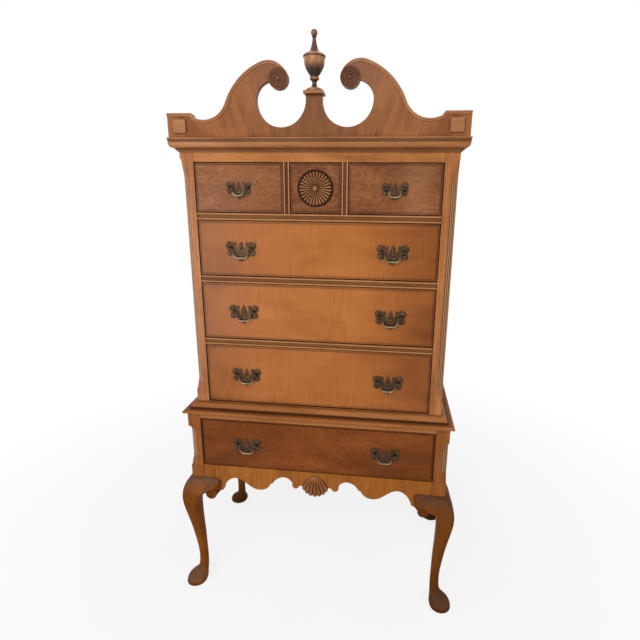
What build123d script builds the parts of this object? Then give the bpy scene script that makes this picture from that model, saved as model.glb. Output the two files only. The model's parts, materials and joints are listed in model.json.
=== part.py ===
from build123d import *
import os
from math import atan2, cos, degrees, radians, sin, sqrt

# A tall chest of drawers: an upper case with a scrolled pediment, on a base with cabriole legs.
# Millimetres, +Z up, front towards -Y, origin on the floor under the middle of the base.

# Upper case
upper_width = 900
upper_depth = 460
upper_post = 45
case_board = 18
back_board = 8
fourth_opening = 223
third_opening = 203
second_opening = 189
top_opening = 161
rail_height = 24
sill_height = 39
frieze_height = 30
divider_width = 20
divider_place = 95
bead_radius = 3.5
divider_bead = 2.5

# Canted and fluted corners
upper_chamfer = 25
upper_chamfer_foot = 50
upper_chamfer_rise = 10
upper_tongues = (42, 70)
base_chamfer = 26
base_chamfer_foot = 50
base_chamfer_head = 55
base_tongues = (40, 26)
flute_radius = 3.2
flute_depth = 2.4
flute_pitch = 9
flute_margin = 9

# Base
base_step = 30
base_post = 48
base_board = 18
side_recess = 3
leg_height = 475
apron_height = 55
base_opening = 196
base_top_rail = 19
base_top_thickness = 12
base_back_board = 12
base_back_rise = 25
apron_thickness = 22
apron_recess = 2
lower_rail_height = 24
side_drop = 43
side_arch = 40

# Legs and knee blocks
foot_half = 40.5
foot_out = 32
ankle_half = 16.7
knee_half = 32.4
knee_out = 27.8
knee_block_length = 60
knee_block_drop = 82
knee_block_root = 30
ear_overlap = 5
ear_bulge = 36
volute_radius = 21
volute_depth = 2.5

# Mouldings
cornice_reach = 27
cornice_height = 41.5
waist_reach = 44
waist_height = 35
nosing_height = 12

# Pediment
pediment_overhang = 22
pediment_thickness = 22
pediment_set_out = 20
block_height = 72
block_width = 78
dip_place = 121
dip_depth = 20
dip_radius = 78
dip_start = 26
scroll_place = 140
scroll_height = 154
scroll_radius = 63
neck_turn = 70
rosette_turn = 158
rosette_radius = 30
rosette_relief = 9
rosette_margin = 1
eye_place = 103
eye_height = 107
eye_radius = 78
throat_radius = 55
plinth_height = 122
edge_width = 9
edge_relief = 2
edge_bead = 4
edge_bead_relief = 3.5
square_block = 40
square_block_height = 33
square_block_place = 41
square_block_relief = 6
brace_place = 300
brace_width = 24
brace_depth = 60
brace_height = 50

# Finial
cap_width = 60
cap_depth = 54
cap_height = 8
finial_height = 170
finial_radius = 34.5

# Drawers
drawer_gap = 2.2
runner_gap = 0.3
front_thickness = 20
front_recess = 2
lip_width = 7
lip_step = 2.5
lip_round = 1.2
drawer_side = 12
drawer_back = 10
drawer_bottom = 6
bottom_rise = 8
drawer_clearance = 11
side_clearance = 14
back_drop = 12
runner_reach = 33
guide_height = 25
centre_runner_reach = 22

# Sunburst on the centre drawer, and shell on the apron
sunburst_radius = 58
sunburst_relief = 4
sunburst_rim = 5
ray_count = 28
ray_root = 1.2
ray_width = 5
ray_depth = 2
hub_radius = 20
hub_depth = 2.5
boss_radius = 8.5
boss_reach = 14
shell_lobes = 7
shell_spread = 66
shell_eye_rise = 63
shell_length = 100
shell_bulge = 4
shell_root = 32
shell_crest = 5
shell_dome = 120
shell_relief = 13
shell_groove = 4
shell_groove_depth = 3

# Pulls
pull_place = 256
small_pull_share = 0.81
plate_width = 106
plate_thickness = 1.8
post_spacing = 71
post_head = 4.5
post_stem = 3
post_flange = 4.5
flange_thickness = 2
pivot_out = 12
bail_rod = 2.3
bail_drop = 31
bail_shoulder = 3
bail_corner = 16
bail_taper = 5
pin_clearance = 0.05
pin_tail = 1
head_clearance = 0.5
shank_radius = 2
shank_clearance = 0.3
shank_tail = 5
nut_radius = 5
nut_thickness = 3

# Gap between neighbours of one node
glue_gap = 0.1

# Widths and depths that follow
upper_half = upper_width / 2
base_half = upper_half + base_step
back = (upper_depth + base_step) / 2
base_front = -back
upper_front = base_front + base_step
upper_inner = upper_front + upper_post
opening_half = upper_half - upper_post
side_inner = upper_half - case_board
panel_front = back - back_board
base_panel_front = back - base_back_board
base_opening_half = base_half - base_post
base_inner = base_front + base_post
base_rear = back - base_post
base_side_out = base_half - side_recess
base_side_in = base_side_out - base_board
post_x = base_half - base_post / 2
post_y = back - base_post / 2
apron_front = base_front + apron_recess
apron_back = apron_front + apron_thickness
apron_end = base_opening_half - knee_block_length
divider_near = divider_place - divider_width / 2
divider_far = divider_place + divider_width / 2
pediment_half = upper_half + pediment_overhang

# Heights that follow
base_sill = leg_height + apron_height
base_opening_top = base_sill + base_opening
base_top = base_opening_top + base_top_rail
fourth_level = base_top + sill_height
third_level = fourth_level + fourth_opening + rail_height
second_level = third_level + third_opening + rail_height
top_level = second_level + second_opening + rail_height
frieze_level = top_level + top_opening
cornice_level = frieze_level + frieze_height
case_top = cornice_level + cornice_height

os.makedirs("parts", exist_ok=True)


def keep(name, piece):
    """Label a finished piece and write it to its own file."""
    piece.label = name
    export_step(piece, f"parts/{name}.step")


def slab(x, y, z):
    """A board in the part being built, from its low and high ends along each axis."""
    with Locations(((x[0] + x[1]) / 2, (y[0] + y[1]) / 2, (z[0] + z[1]) / 2)):
        Box(x[1] - x[0], y[1] - y[0], z[1] - z[0])


def span(side, near, far):
    """The span from near to far, to the right for side 1 and to the left for side -1."""
    return (min(side * near, side * far), max(side * near, side * far))


def on_circle(centre, radius, angle):
    """The point of a circle at an angle in degrees."""
    return centre + Vector(cos(radians(angle)), sin(radians(angle))) * radius


def turn(centre, start, end, clockwise=False):
    """An arc about a centre from one point to another."""
    first = degrees(atan2(start.Y - centre.Y, start.X - centre.X))
    last = degrees(atan2(end.Y - centre.Y, end.X - centre.X))
    sweep_angle = (last - first) % 360
    if clockwise:
        sweep_angle -= 360
    CenterArc(centre, (start - centre).length, first, sweep_angle)


def round_end(start, top):
    """The arc of a ball on the axis of a turned outline, from a point of the outline up to the axis."""
    radius, height = start
    middle = (top**2 - height**2 - radius**2) / (2 * (top - height))
    turn(Vector(0, middle), Vector(radius, height), Vector(0, top))


# Corner posts: square, canted between two tongue-shaped stops, with three flutes in the cant
def canted_post(side, corner, front, width, ends, chamfer, cant, tongues):
    """A post with its outer face at the corner, its ends and the cant's ends given as heights."""
    low, high = cant
    low_end = low + tongues[0]
    high_end = high - tongues[1]
    depth = chamfer / sqrt(2)
    inward = Vector(-side, 1, 0)
    across_cant = Plane(origin=(side * corner, front, 0), x_dir=inward, z_dir=inward.cross(Vector(0, 0, 1)))
    with BuildPart() as post:
        slab(span(side, corner - width, corner), (front, front + width), ends)
        with BuildSketch(across_cant):
            with BuildLine():
                Polyline((0, high), (-depth, high), (-depth, low), (0, low))
                Line((depth, low_end), (depth, high_end))
                for start, tongue in ((low, tongues[0]), (high, -tongues[1])):
                    nose = (0.45 * depth, start + 0.2 * tongue)
                    Bezier((0, start), (0.25 * depth, start), (0.4 * depth, start + 0.05 * tongue), nose)
                    swell = ((0.52 * depth, start + 0.41 * tongue), (depth, start + 0.55 * tongue))
                    Bezier(nose, *swell, (depth, start + tongue))
            make_face()
        extrude(amount=chamfer, both=True, mode=Mode.SUBTRACT)
        flute_low = low_end + flute_margin
        flute_high = high_end - flute_margin
        flute_centre = depth - flute_radius + flute_depth
        for step in (-1, 0, 1):
            x = side * (corner - (flute_centre - step * flute_pitch) / sqrt(2))
            y = front + (flute_centre + step * flute_pitch) / sqrt(2)
            with Locations((x, y, (flute_low + flute_high) / 2)):
                Cylinder(flute_radius, flute_high - flute_low, mode=Mode.SUBTRACT)
            with Locations((x, y, flute_low), (x, y, flute_high)):
                Sphere(flute_radius, mode=Mode.SUBTRACT)
    return post.part


upper_cant = (base_top + waist_height + upper_chamfer_foot, frieze_level + upper_chamfer_rise)
upper_ends = (base_top, case_top)
upper_cut = (upper_ends, upper_chamfer, upper_cant, upper_tongues)
for side, word in ((-1, "left"), (1, "right")):
    keep(f"corner_post_{word}", canted_post(side, upper_half, upper_front, upper_post, *upper_cut))

base_cant = (leg_height + base_chamfer_foot, base_top - base_chamfer_head)
base_ends = (leg_height, base_top)
base_cut = (base_ends, base_chamfer, base_cant, base_tongues)
base_sticks = [canted_post(side, base_half, base_front, base_post, *base_cut) for side in (-1, 1)]
with BuildPart() as base_posts:
    add(base_sticks)
    for side in (-1, 1):
        slab(span(side, base_opening_half, base_half), (base_rear, back), base_ends)
keep("base_posts", base_posts.part)

# Boards of the upper case
behind_rails = (upper_inner, panel_front)
with BuildPart() as upper_sides:
    for side in (-1, 1):
        slab(span(side, side_inner, upper_half), (upper_inner, back), upper_ends)
keep("upper_sides", upper_sides.part)

with BuildPart() as upper_back_panel:
    slab((-side_inner, side_inner), (panel_front, back), upper_ends)
keep("upper_back_panel", upper_back_panel.part)

with BuildPart() as upper_top_board:
    slab((-side_inner, side_inner), behind_rails, (case_top - case_board, case_top))
keep("upper_top_board", upper_top_board.part)

with BuildPart() as upper_bottom_board:
    slab((-side_inner, side_inner), behind_rails, (base_top, base_top + case_board))
keep("upper_bottom_board", upper_bottom_board.part)

# Front rails: plain at the frieze, the sill and the base, beaded between the drawers
rail_depth = (upper_front, upper_inner)
bead_line = upper_front + bead_radius
rail_middle = (bead_line + upper_inner) / 2
with BuildPart() as front_rails:
    slab((-opening_half, opening_half), rail_depth, (frieze_level, case_top))
    slab((-opening_half, opening_half), rail_depth, (base_top, fourth_level))
    base_rail = (-base_opening_half, base_opening_half)
    slab(base_rail, (base_front, base_inner), (base_opening_top, base_top))
    slab(base_rail, (apron_back, base_inner), (base_sill - lower_rail_height, base_sill))
    for level in (third_level, second_level, top_level):
        with BuildSketch(Plane.YZ):
            with Locations((rail_middle, level - rail_height / 2)):
                Rectangle(upper_post - bead_radius, rail_height)
            upper_bead = (bead_line, level - bead_radius)
            lower_bead = (bead_line, level - rail_height + bead_radius)
            with Locations(upper_bead, lower_bead):
                Circle(bead_radius)
        extrude(amount=opening_half, both=True)
keep("front_rails", front_rails.part)

with BuildPart() as drawer_dividers:
    with BuildSketch(Plane.XY.offset(top_level)):
        for side in (-1, 1):
            with Locations((side * divider_place, rail_middle)):
                Rectangle(divider_width, upper_post - bead_radius)
            near_bead = side * (divider_near + divider_bead)
            far_bead = side * (divider_far - divider_bead)
            with Locations((near_bead, upper_front + divider_bead), (far_bead, upper_front + divider_bead)):
                Circle(divider_bead)
            with Locations((near_bead, bead_line), (far_bead, bead_line)):
                Rectangle(2 * divider_bead, 2 * (bead_radius - divider_bead))
    extrude(amount=top_opening)
keep("drawer_dividers", drawer_dividers.part)

# Runners under the drawers, and guides beside them
with BuildPart() as drawer_runners:
    for side in (-1, 1):
        for level in (fourth_level, third_level, second_level, top_level):
            low = max(level - rail_height, base_top + case_board)
            slab(span(side, opening_half - runner_reach, side_inner), behind_rails, (low, level))
            guide = (level + glue_gap, level + guide_height)
            slab(span(side, opening_half, side_inner), behind_rails, guide)
        centre_runner = span(side, divider_near - centre_runner_reach, divider_far + centre_runner_reach)
        slab(centre_runner, behind_rails, (top_level - rail_height, top_level))
        slab(span(side, divider_near, divider_far), behind_rails, guide)
        between_posts = (base_inner, base_rear)
        base_runner = span(side, base_opening_half - runner_reach, base_side_in)
        slab(base_runner, between_posts, (base_sill - lower_rail_height, base_sill))
        base_guide = (base_sill + glue_gap, base_sill + guide_height)
        slab(span(side, base_opening_half, base_side_in), between_posts, base_guide)
keep("drawer_runners", drawer_runners.part)


# Mouldings across the front and back along both sides, mitred at the front corners
def mitred_moulding(draw_profile, reach):
    """The three runs of a moulding round the upper case, its profile drawn outwards from the case."""
    mitre = Plane(origin=(upper_half, upper_front, 0), x_dir=(0, 0, 1), z_dir=(1, 1, 0))
    with BuildPart() as front_run:
        with BuildSketch(Plane(origin=(0, upper_front, 0), x_dir=(0, -1, 0), z_dir=(-1, 0, 0))):
            with BuildLine():
                draw_profile()
            make_face()
        extrude(amount=-(upper_half + reach))
        split(bisect_by=mitre.offset(-glue_gap / 2), keep=Keep.BOTTOM)
        mirror(about=Plane.YZ)
    with BuildPart() as side_run:
        with BuildSketch(Plane(origin=(upper_half, back, 0), x_dir=(1, 0, 0), z_dir=(0, -1, 0))):
            with BuildLine():
                draw_profile()
            make_face()
        extrude(amount=upper_depth + reach)
        split(bisect_by=mitre.offset(glue_gap / 2), keep=Keep.TOP)
        mirror(about=Plane.YZ)
    with BuildPart() as runs:
        add(front_run.part)
        add(side_run.part)
    return runs.part


def draw_cornice():
    """A bed slope, a quirk, a quarter round and a fascia with two grooves, upwards from the frieze."""

    def corner(reach_share, height_share):
        return (reach_share * cornice_reach, cornice_level + height_share * cornice_height)

    Polyline(
        corner(0, 0),
        corner(0.1, 0),
        corner(0.12, 0.06),
        corner(0.36, 0.17),
        corner(0.36, 0.22),
        corner(0.3, 0.22),
        corner(0.3, 0.26),
        corner(0.44, 0.26),
    )
    Bezier(corner(0.44, 0.26), corner(0.76, 0.27), corner(0.93, 0.42), corner(0.93, 0.68))
    Polyline(
        corner(0.93, 0.68),
        corner(0.89, 0.68),
        corner(0.89, 0.75),
        corner(0.97, 0.75),
        corner(0.97, 0.82),
        corner(0.93, 0.82),
        corner(0.93, 0.9),
        corner(1, 0.9),
        corner(1, 1),
        corner(0, 1),
        corner(0, 0),
    )


def draw_waist():
    """A round nosing on the base, a hollow, and a bead against the upper case."""
    edge = waist_reach - nosing_height / 2
    nosing_top = base_top + nosing_height
    hollow = 0.44 * waist_reach
    hollow_foot = nosing_top + 0.03 * waist_height
    hollow_top = base_top + 0.54 * waist_height
    crest = base_top + waist_height
    Line((0, base_top), (edge, base_top))
    ThreePointArc((edge, base_top), (waist_reach, base_top + nosing_height / 2), (edge, nosing_top))
    Line((edge, nosing_top), (1.3 * hollow, hollow_foot))
    hollow_deep = (1.07 * hollow, hollow_foot + 0.05 * waist_height)
    ThreePointArc((1.3 * hollow, hollow_foot), hollow_deep, (hollow, hollow_top))
    bead_swell = (0.84 * hollow, base_top + 0.82 * waist_height)
    ThreePointArc((hollow, hollow_top), bead_swell, (0.4 * hollow, crest))
    Polyline((0.4 * hollow, crest), (0, crest), (0, base_top))


keep("cornice_moulding", mitred_moulding(draw_cornice, cornice_reach))
keep("waist_moulding", mitred_moulding(draw_waist, waist_reach))

# Boards of the base
block_end = base_rear - knee_block_length
side_foot = leg_height - side_drop
with BuildPart() as base_sides:
    with BuildSketch(Plane.YZ.offset(base_side_in)):
        with BuildLine():
            Polyline(
                (-block_end, side_foot),
                (-block_end, leg_height),
                (base_inner, leg_height),
                (base_inner, base_top),
                (base_rear, base_top),
                (base_rear, leg_height),
                (block_end, leg_height),
                (block_end, side_foot),
            )
            ThreePointArc((block_end, side_foot), (0, side_foot + side_arch), (-block_end, side_foot))
        make_face()
    extrude(amount=base_board)
    mirror(about=Plane.YZ)
keep("base_sides", base_sides.part)

with BuildPart() as base_back_panel:
    slab(base_rail, (base_panel_front, back), (leg_height + base_back_rise, base_top))
keep("base_back_panel", base_back_panel.part)

with BuildPart() as base_top_board:
    slab((-base_side_in, base_side_in), between_posts, (base_top - base_top_thickness, base_top))
keep("base_top_board", base_top_board.part)


# Scalloped apron between the front legs
def scallop(share, rise):
    """A point of the apron's lower edge, in shares of its half length and height from the leg tops."""
    return (share * apron_end, leg_height + rise * apron_height)


with BuildPart() as front_apron:
    with BuildSketch(Plane.XZ.offset(-apron_back)):
        with BuildLine():
            Polyline(
                (0, base_sill),
                (base_opening_half, base_sill),
                (base_opening_half, leg_height),
                (apron_end, leg_height),
                scallop(1, -1),
                scallop(0.965, -0.9),
            )
            Spline(
                scallop(0.965, -0.9),
                scallop(0.925, -0.29),
                scallop(0.844, 0.09),
                scallop(0.758, -0.05),
                scallop(0.645, -0.58),
                scallop(0.556, -0.67),
                scallop(0.492, -0.46),
                scallop(0.462, -0.16),
            )
            Line(scallop(0.462, -0.16), scallop(0.435, -0.07))
            Spline(
                scallop(0.435, -0.07),
                scallop(0.374, 0.36),
                scallop(0.305, 0.45),
                scallop(0.253, 0.24),
                scallop(0.234, 0.05),
            )
            Line(scallop(0.234, 0.05), scallop(0.237, -0.09))
            ThreePointArc(scallop(0.237, -0.09), scallop(0.208, -0.34), scallop(0.172, -0.24))
            ThreePointArc(scallop(0.172, -0.24), scallop(0.14, -0.1), scallop(0.118, -0.24))
            Polyline(scallop(0.118, -0.24), scallop(0.08, -0.5), scallop(0, -0.62), (0, base_sill))
        make_face()
        mirror(about=Plane.YZ)
    extrude(amount=apron_thickness)
keep("front_apron", front_apron.part)

# Carved shell: a domed fan cut short at its root, with a scalloped edge and grooves between the lobes
shell_eye = Vector(0, leg_height + shell_eye_rise)
dome_centre = (0, apron_front + shell_dome - shell_relief, shell_eye.Y - (shell_root + shell_length) / 2)


def shell_point(step, stretch):
    """A point on the fan's edge, counted in lobes from the left, stretched outwards from the edge."""
    swing = 2 * step / shell_lobes - 1
    return on_circle(shell_eye, shell_length * (1 - 0.16 * swing**2) + stretch, shell_spread / 2 * swing - 90)


with BuildPart() as shell_grooves:
    with BuildSketch(Plane.XZ.offset(-apron_front)):
        for step in range(1, shell_lobes):
            along = (shell_point(step, shell_bulge) - shell_eye).normalized()
            beside = Vector(-along.Y, along.X) * shell_groove / 2
            tip = shell_point(step, shell_bulge)
            Polygon(shell_eye + along * shell_root, tip - beside, tip + beside, align=None)
    extrude(amount=2 * shell_relief)
    with Locations(dome_centre):
        Sphere(shell_dome - shell_groove_depth, mode=Mode.SUBTRACT)
with BuildPart() as shell_carving:
    with BuildSketch(Plane.XZ.offset(-apron_front)):
        with BuildLine():
            left = on_circle(shell_eye, shell_root, -90 - shell_spread / 2)
            right = on_circle(shell_eye, shell_root, -90 + shell_spread / 2)
            ThreePointArc(right, (left + right) / 2 + Vector(0, shell_crest), left)
            Line(left, shell_point(0, 0))
            for step in range(shell_lobes):
                crest = shell_point(step + 0.5, shell_bulge)
                ThreePointArc(shell_point(step, 0), crest, shell_point(step + 1, 0))
            Line(shell_point(shell_lobes, 0), right)
        make_face()
    extrude(amount=2 * shell_relief)
    with Locations(dome_centre):
        Sphere(shell_dome, mode=Mode.INTERSECT)
    add(shell_grooves.part, mode=Mode.SUBTRACT)
keep("shell_carving", shell_carving.part)


# Legs: pad foot, ankle and knee in one stick, under the corner posts
def cabriole_leg():
    """The front right leg, through rounded square sections from the floor up."""
    stations = (
        (0.000, 1.08 * foot_out, 0.95 * foot_half, 0.97),
        (0.021, foot_out, foot_half, 0.97),
        (0.046, 0.91 * foot_out, 0.95 * foot_half, 0.97),
        (0.072, 0.70 * foot_out, 0.75 * foot_half, 0.94),
        (0.105, 0.42 * foot_out, 0.51 * foot_half, 0.90),
        (0.158, 0.30 * foot_out, 1.04 * ankle_half, 0.89),
        (0.232, 0.28 * foot_out, ankle_half, 0.89),
        (0.316, 0.37 * knee_out, 1.04 * ankle_half, 0.85),
        (0.421, 0.48 * knee_out, 0.61 * knee_half, 0.76),
        (0.526, 0.62 * knee_out, 0.67 * knee_half, 0.62),
        (0.632, 0.79 * knee_out, 0.76 * knee_half, 0.50),
        (0.737, 0.95 * knee_out, 0.88 * knee_half, 0.44),
        (0.821, knee_out, 0.97 * knee_half, 0.42),
        (0.884, 0.91 * knee_out, knee_half, 0.40),
        (0.937, 0.68 * knee_out, knee_half, 0.36),
        (0.973, 0.42 * knee_out, 0.95 * knee_half, 0.30),
        (1.000, 0, base_post / 2, 0.06),
    )
    with BuildPart() as leg:
        for share, outward, half, roundness in stations:
            with BuildSketch(Plane.XY.offset(share * leg_height)):
                with Locations((post_x + outward, -post_y - outward)):
                    RectangleRounded(2 * half, 2 * half, roundness * half)
        loft()
    return leg.part


right_leg = cabriole_leg()
left_leg = mirror(right_leg, about=Plane.YZ)
keep("leg_front_right", right_leg)
keep("leg_front_left", left_leg)
keep("leg_rear_right", mirror(right_leg, about=Plane.XZ))
keep("leg_rear_left", mirror(left_leg, about=Plane.XZ))


# Knee blocks: a bracket in the corner between a leg and the board beside it, with a swelling ear
def knee_block(thickness):
    """A block along +X from its post, its board's face on the XZ plane, its top at height 0."""
    root = -knee_block_root
    length = knee_block_length
    drop = knee_block_drop
    ear = length + ear_overlap
    bulge = ear_bulge
    volute_foot = Plane(origin=(0.45 * ear, 0, -0.74 * drop), x_dir=(1, 0, 0), z_dir=(0, -1, 0))
    volute_reach = 0.6 * bulge
    with BuildPart() as swelling:
        with BuildSketch(Plane.XZ):
            with BuildLine():
                Polyline((0.12 * ear, -0.66 * drop), (root, -0.8 * drop), (root, 0), (0.62 * ear, 0))
                ThreePointArc((0.62 * ear, 0), (0.9 * ear, -0.1 * drop), (ear, -0.36 * drop))
                ThreePointArc((ear, -0.36 * drop), (0.93 * ear, -0.46 * drop), (0.8 * ear, -0.5 * drop))
                ThreePointArc((0.8 * ear, -0.5 * drop), (0.45 * ear, -0.5 * drop), (0.12 * ear, -0.66 * drop))
            make_face()
        extrude(amount=bulge)
        with BuildSketch(Plane.XY.offset(-drop)):
            with BuildLine():
                Polyline((root, -0.88 * bulge), (root, 0), (ear, 0))
                swell = ((0.94 * ear, -0.36 * bulge), (0.68 * ear, -0.7 * bulge), (0.25 * ear, -0.94 * bulge))
                Spline((ear, 0), *swell, (root, -0.88 * bulge))
            make_face()
        extrude(amount=drop, mode=Mode.INTERSECT)
        with BuildSketch(Plane.YZ.offset(root)):
            with BuildLine():
                Polyline((-bulge, -drop), (0, -drop), (0, 0))
                Spline(
                    (0, 0),
                    (-0.46 * bulge, -0.14 * drop),
                    (-0.75 * bulge, -0.36 * drop),
                    (-0.92 * bulge, -0.62 * drop),
                    (-bulge, -0.9 * drop),
                )
                Line((-bulge, -0.9 * drop), (-bulge, -drop))
            make_face()
        extrude(amount=ear - root, mode=Mode.INTERSECT)
    with BuildPart() as block:
        add(swelling.part)
        with BuildSketch(Plane.XZ.offset(-thickness)):
            with BuildLine():
                Polyline((0.14 * length, -0.84 * drop), (root, -0.8 * drop), (root, 0), (length, 0))
                Polyline((length, 0), (length, -0.7 * drop), (0.78 * length, -0.9 * drop))
                belly = (0.48 * length, -0.95 * drop)
                ThreePointArc((0.78 * length, -0.9 * drop), belly, (0.14 * length, -0.84 * drop))
            make_face()
        extrude(amount=thickness)
        with BuildSketch(volute_foot):
            Circle(volute_radius)
        extrude(amount=volute_reach)
        with BuildSketch(volute_foot.offset(volute_reach - volute_depth)):
            Circle(0.74 * volute_radius)
            Circle(0.5 * volute_radius, mode=Mode.SUBTRACT)
        extrude(amount=2 * volute_depth, mode=Mode.SUBTRACT)
    return block.part


front_block = Pos(-base_opening_half, apron_front, leg_height) * knee_block(apron_thickness)
side_block = Pos(base_side_out, base_inner, leg_height) * Rot(0, 0, 90) * knee_block(base_board)
with BuildPart() as left_front_block:
    add(front_block)
    add(left_leg, mode=Mode.SUBTRACT)
with BuildPart() as right_side_block:
    add(side_block)
    add(right_leg, mode=Mode.SUBTRACT)
    mirror(about=Plane.XZ)
with BuildPart() as knee_blocks:
    add(left_front_block.part)
    add(right_side_block.part)
    mirror(about=Plane.YZ)
keep("knee_blocks", knee_blocks.part)

# Pediment: a board sawn to a swan neck on each side, round two eyes and a plinth
block_inner = pediment_half - block_width
pediment_front = upper_front - pediment_set_out
pediment_face = Plane(origin=(0, pediment_front, case_top), x_dir=(1, 0, 0), z_dir=(0, -1, 0))
dip_centre = Vector(pediment_half - dip_place, block_height - dip_depth + dip_radius)
scroll_centre = Vector(scroll_place, scroll_height)
eye_centre = Vector(eye_place, eye_height)
throat_centre = Vector(eye_place + eye_radius - throat_radius, eye_height)

# The neck's arc touches both the dip's circle and the scroll's circle
neck_end = on_circle(scroll_centre, scroll_radius, neck_turn)
neck_normal = (neck_end - scroll_centre).normalized()
from_dip = neck_end - dip_centre
neck_radius = (from_dip.length**2 - dip_radius**2) / (2 * (dip_radius + from_dip.dot(neck_normal)))
neck_centre = neck_end - neck_normal * neck_radius
dip_normal = (neck_centre - dip_centre).normalized()
scroll_normal = on_circle(Vector(0, 0), 1, rosette_turn)
rosette_centre = scroll_centre + scroll_normal * (scroll_radius - rosette_radius)


def circles_meet(first, first_radius, second, second_radius):
    """The point where two circles cross, to the left of the line from the first to the second."""
    apart = second - first
    along = (first_radius**2 - second_radius**2 + apart.length**2) / (2 * apart.length)
    across = sqrt(first_radius**2 - along**2)
    unit = apart.normalized()
    return first + unit * along + Vector(-unit.Y, unit.X) * across


def neck_points(inset):
    """The ends of the three arcs along the neck's upper edge, moved into the board by an inset."""
    return (
        on_circle(dip_centre, dip_radius + inset, dip_start - 90),
        dip_centre + dip_normal * (dip_radius + inset),
        neck_centre + neck_normal * (neck_radius - inset),
        scroll_centre + scroll_normal * (scroll_radius - inset),
    )


def draw_neck(inset):
    """The neck's upper edge, from the end block to the rosette."""
    first, second, third, fourth = neck_points(inset)
    turn(dip_centre, first, second, clockwise=True)
    turn(neck_centre, second, third)
    turn(scroll_centre, third, fourth)


with BuildPart() as pediment_board:
    with BuildSketch(pediment_face.offset(-pediment_thickness)):
        with BuildLine():
            neck_first = neck_points(0)[0]
            neck_last = neck_points(0)[3]
            throat_top = circles_meet(rosette_centre, rosette_radius, throat_centre, throat_radius)
            eye_right = eye_centre + Vector(eye_radius, 0)
            eye_left = eye_centre - Vector(eye_radius, 0)
            Polyline(
                (0, 0),
                (pediment_half, 0),
                (pediment_half, block_height),
                (block_inner, block_height),
                neck_first,
            )
            draw_neck(0)
            turn(rosette_centre, neck_last, throat_top)
            turn(throat_centre, throat_top, eye_right, clockwise=True)
            turn(eye_centre, eye_right, eye_left, clockwise=True)
            Polyline(eye_left, (eye_left.X, plinth_height), (0, plinth_height), (0, 0))
        make_face()
        mirror(about=Plane.YZ)
    extrude(amount=pediment_thickness)
keep("pediment_board", pediment_board.part)


# Moulding along the board's upper edge: a flat with a raised bead on its outer side
def draw_edge(inset):
    """The top of the end block, the slope beside it and the neck, moved into the board by an inset."""
    first = neck_points(inset)[0]
    top = block_height - inset
    slope = (block_inner - neck_first.X) / (block_height - neck_first.Y)
    Polyline((pediment_half, top), (first.X + slope * (top - first.Y), top), first)
    draw_neck(inset)


with BuildPart() as pediment_edge_moulding:
    for width, relief in ((edge_width, edge_relief), (edge_bead, edge_bead_relief)):
        with BuildSketch(pediment_face):
            with BuildLine():
                draw_edge(0)
                draw_edge(width)
                Line((pediment_half, block_height), (pediment_half, block_height - width))
                Line(neck_last, neck_points(width)[3])
            make_face()
            with Locations(rosette_centre):
                Circle(rosette_radius + rosette_margin, mode=Mode.SUBTRACT)
            mirror(about=Plane.YZ)
        extrude(amount=relief)
keep("pediment_edge_moulding", pediment_edge_moulding.part)

with BuildPart() as pediment_square_blocks:
    with BuildSketch(pediment_face):
        with Locations((pediment_half - square_block_place, square_block_height)):
            Rectangle(square_block, square_block)
        mirror(about=Plane.YZ)
    extrude(amount=square_block_relief)
keep("pediment_square_blocks", pediment_square_blocks.part)

# Turned rosettes: a rim bead, a hollow ring and a round boss
with BuildPart() as pediment_rosettes:
    disc = rosette_radius - glue_gap
    relief = rosette_relief
    rosette_place = (rosette_centre.X, pediment_front, case_top + rosette_centre.Y)
    with BuildSketch(Plane(origin=rosette_place, x_dir=(1, 0, 0), z_dir=(0, 0, -1))):
        with BuildLine():
            Polyline((0, relief), (0, 0), (disc, 0), (disc, 0.4 * relief))
            ThreePointArc((disc, 0.4 * relief), (0.9 * disc, 0.75 * relief), (0.8 * disc, 0.4 * relief))
            ring = (0.66 * disc, 0.66 * relief)
            ThreePointArc((0.8 * disc, 0.4 * relief), ring, (0.52 * disc, 0.36 * relief))
            Line((0.52 * disc, 0.36 * relief), (0.3 * disc, 0.36 * relief))
            round_end((0.3 * disc, 0.36 * relief), relief)
        make_face()
    revolve(axis=Axis(rosette_place, (0, 1, 0)))
    mirror(about=Plane.YZ)
keep("pediment_rosettes", pediment_rosettes.part)

with BuildPart() as pediment_braces:
    brace_front = pediment_front + pediment_thickness
    with BuildSketch(Plane.YZ.offset(brace_place - brace_width / 2)):
        with BuildLine():
            foot = (brace_front, case_top)
            heel = (brace_front + brace_depth, case_top)
            Polyline(foot, heel, (brace_front, case_top + brace_height), foot)
        make_face()
    extrude(amount=brace_width)
    mirror(about=Plane.YZ)
keep("pediment_braces", pediment_braces.part)

# Plinth cap and turned urn finial
finial_y = pediment_front + pediment_thickness / 2
plinth_top = case_top + plinth_height
cap_top = plinth_top + cap_height
with BuildPart() as finial_plinth_cap:
    cap_span = (finial_y - cap_depth / 2, finial_y + cap_depth / 2)
    slab((-cap_width / 2, cap_width / 2), cap_span, (plinth_top, cap_top))
keep("finial_plinth_cap", finial_plinth_cap.part)


def turned(radius_share, height_share):
    """A point of the finial's outline in shares of its greatest radius and its height."""
    return (radius_share * finial_radius, height_share * finial_height)


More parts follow.
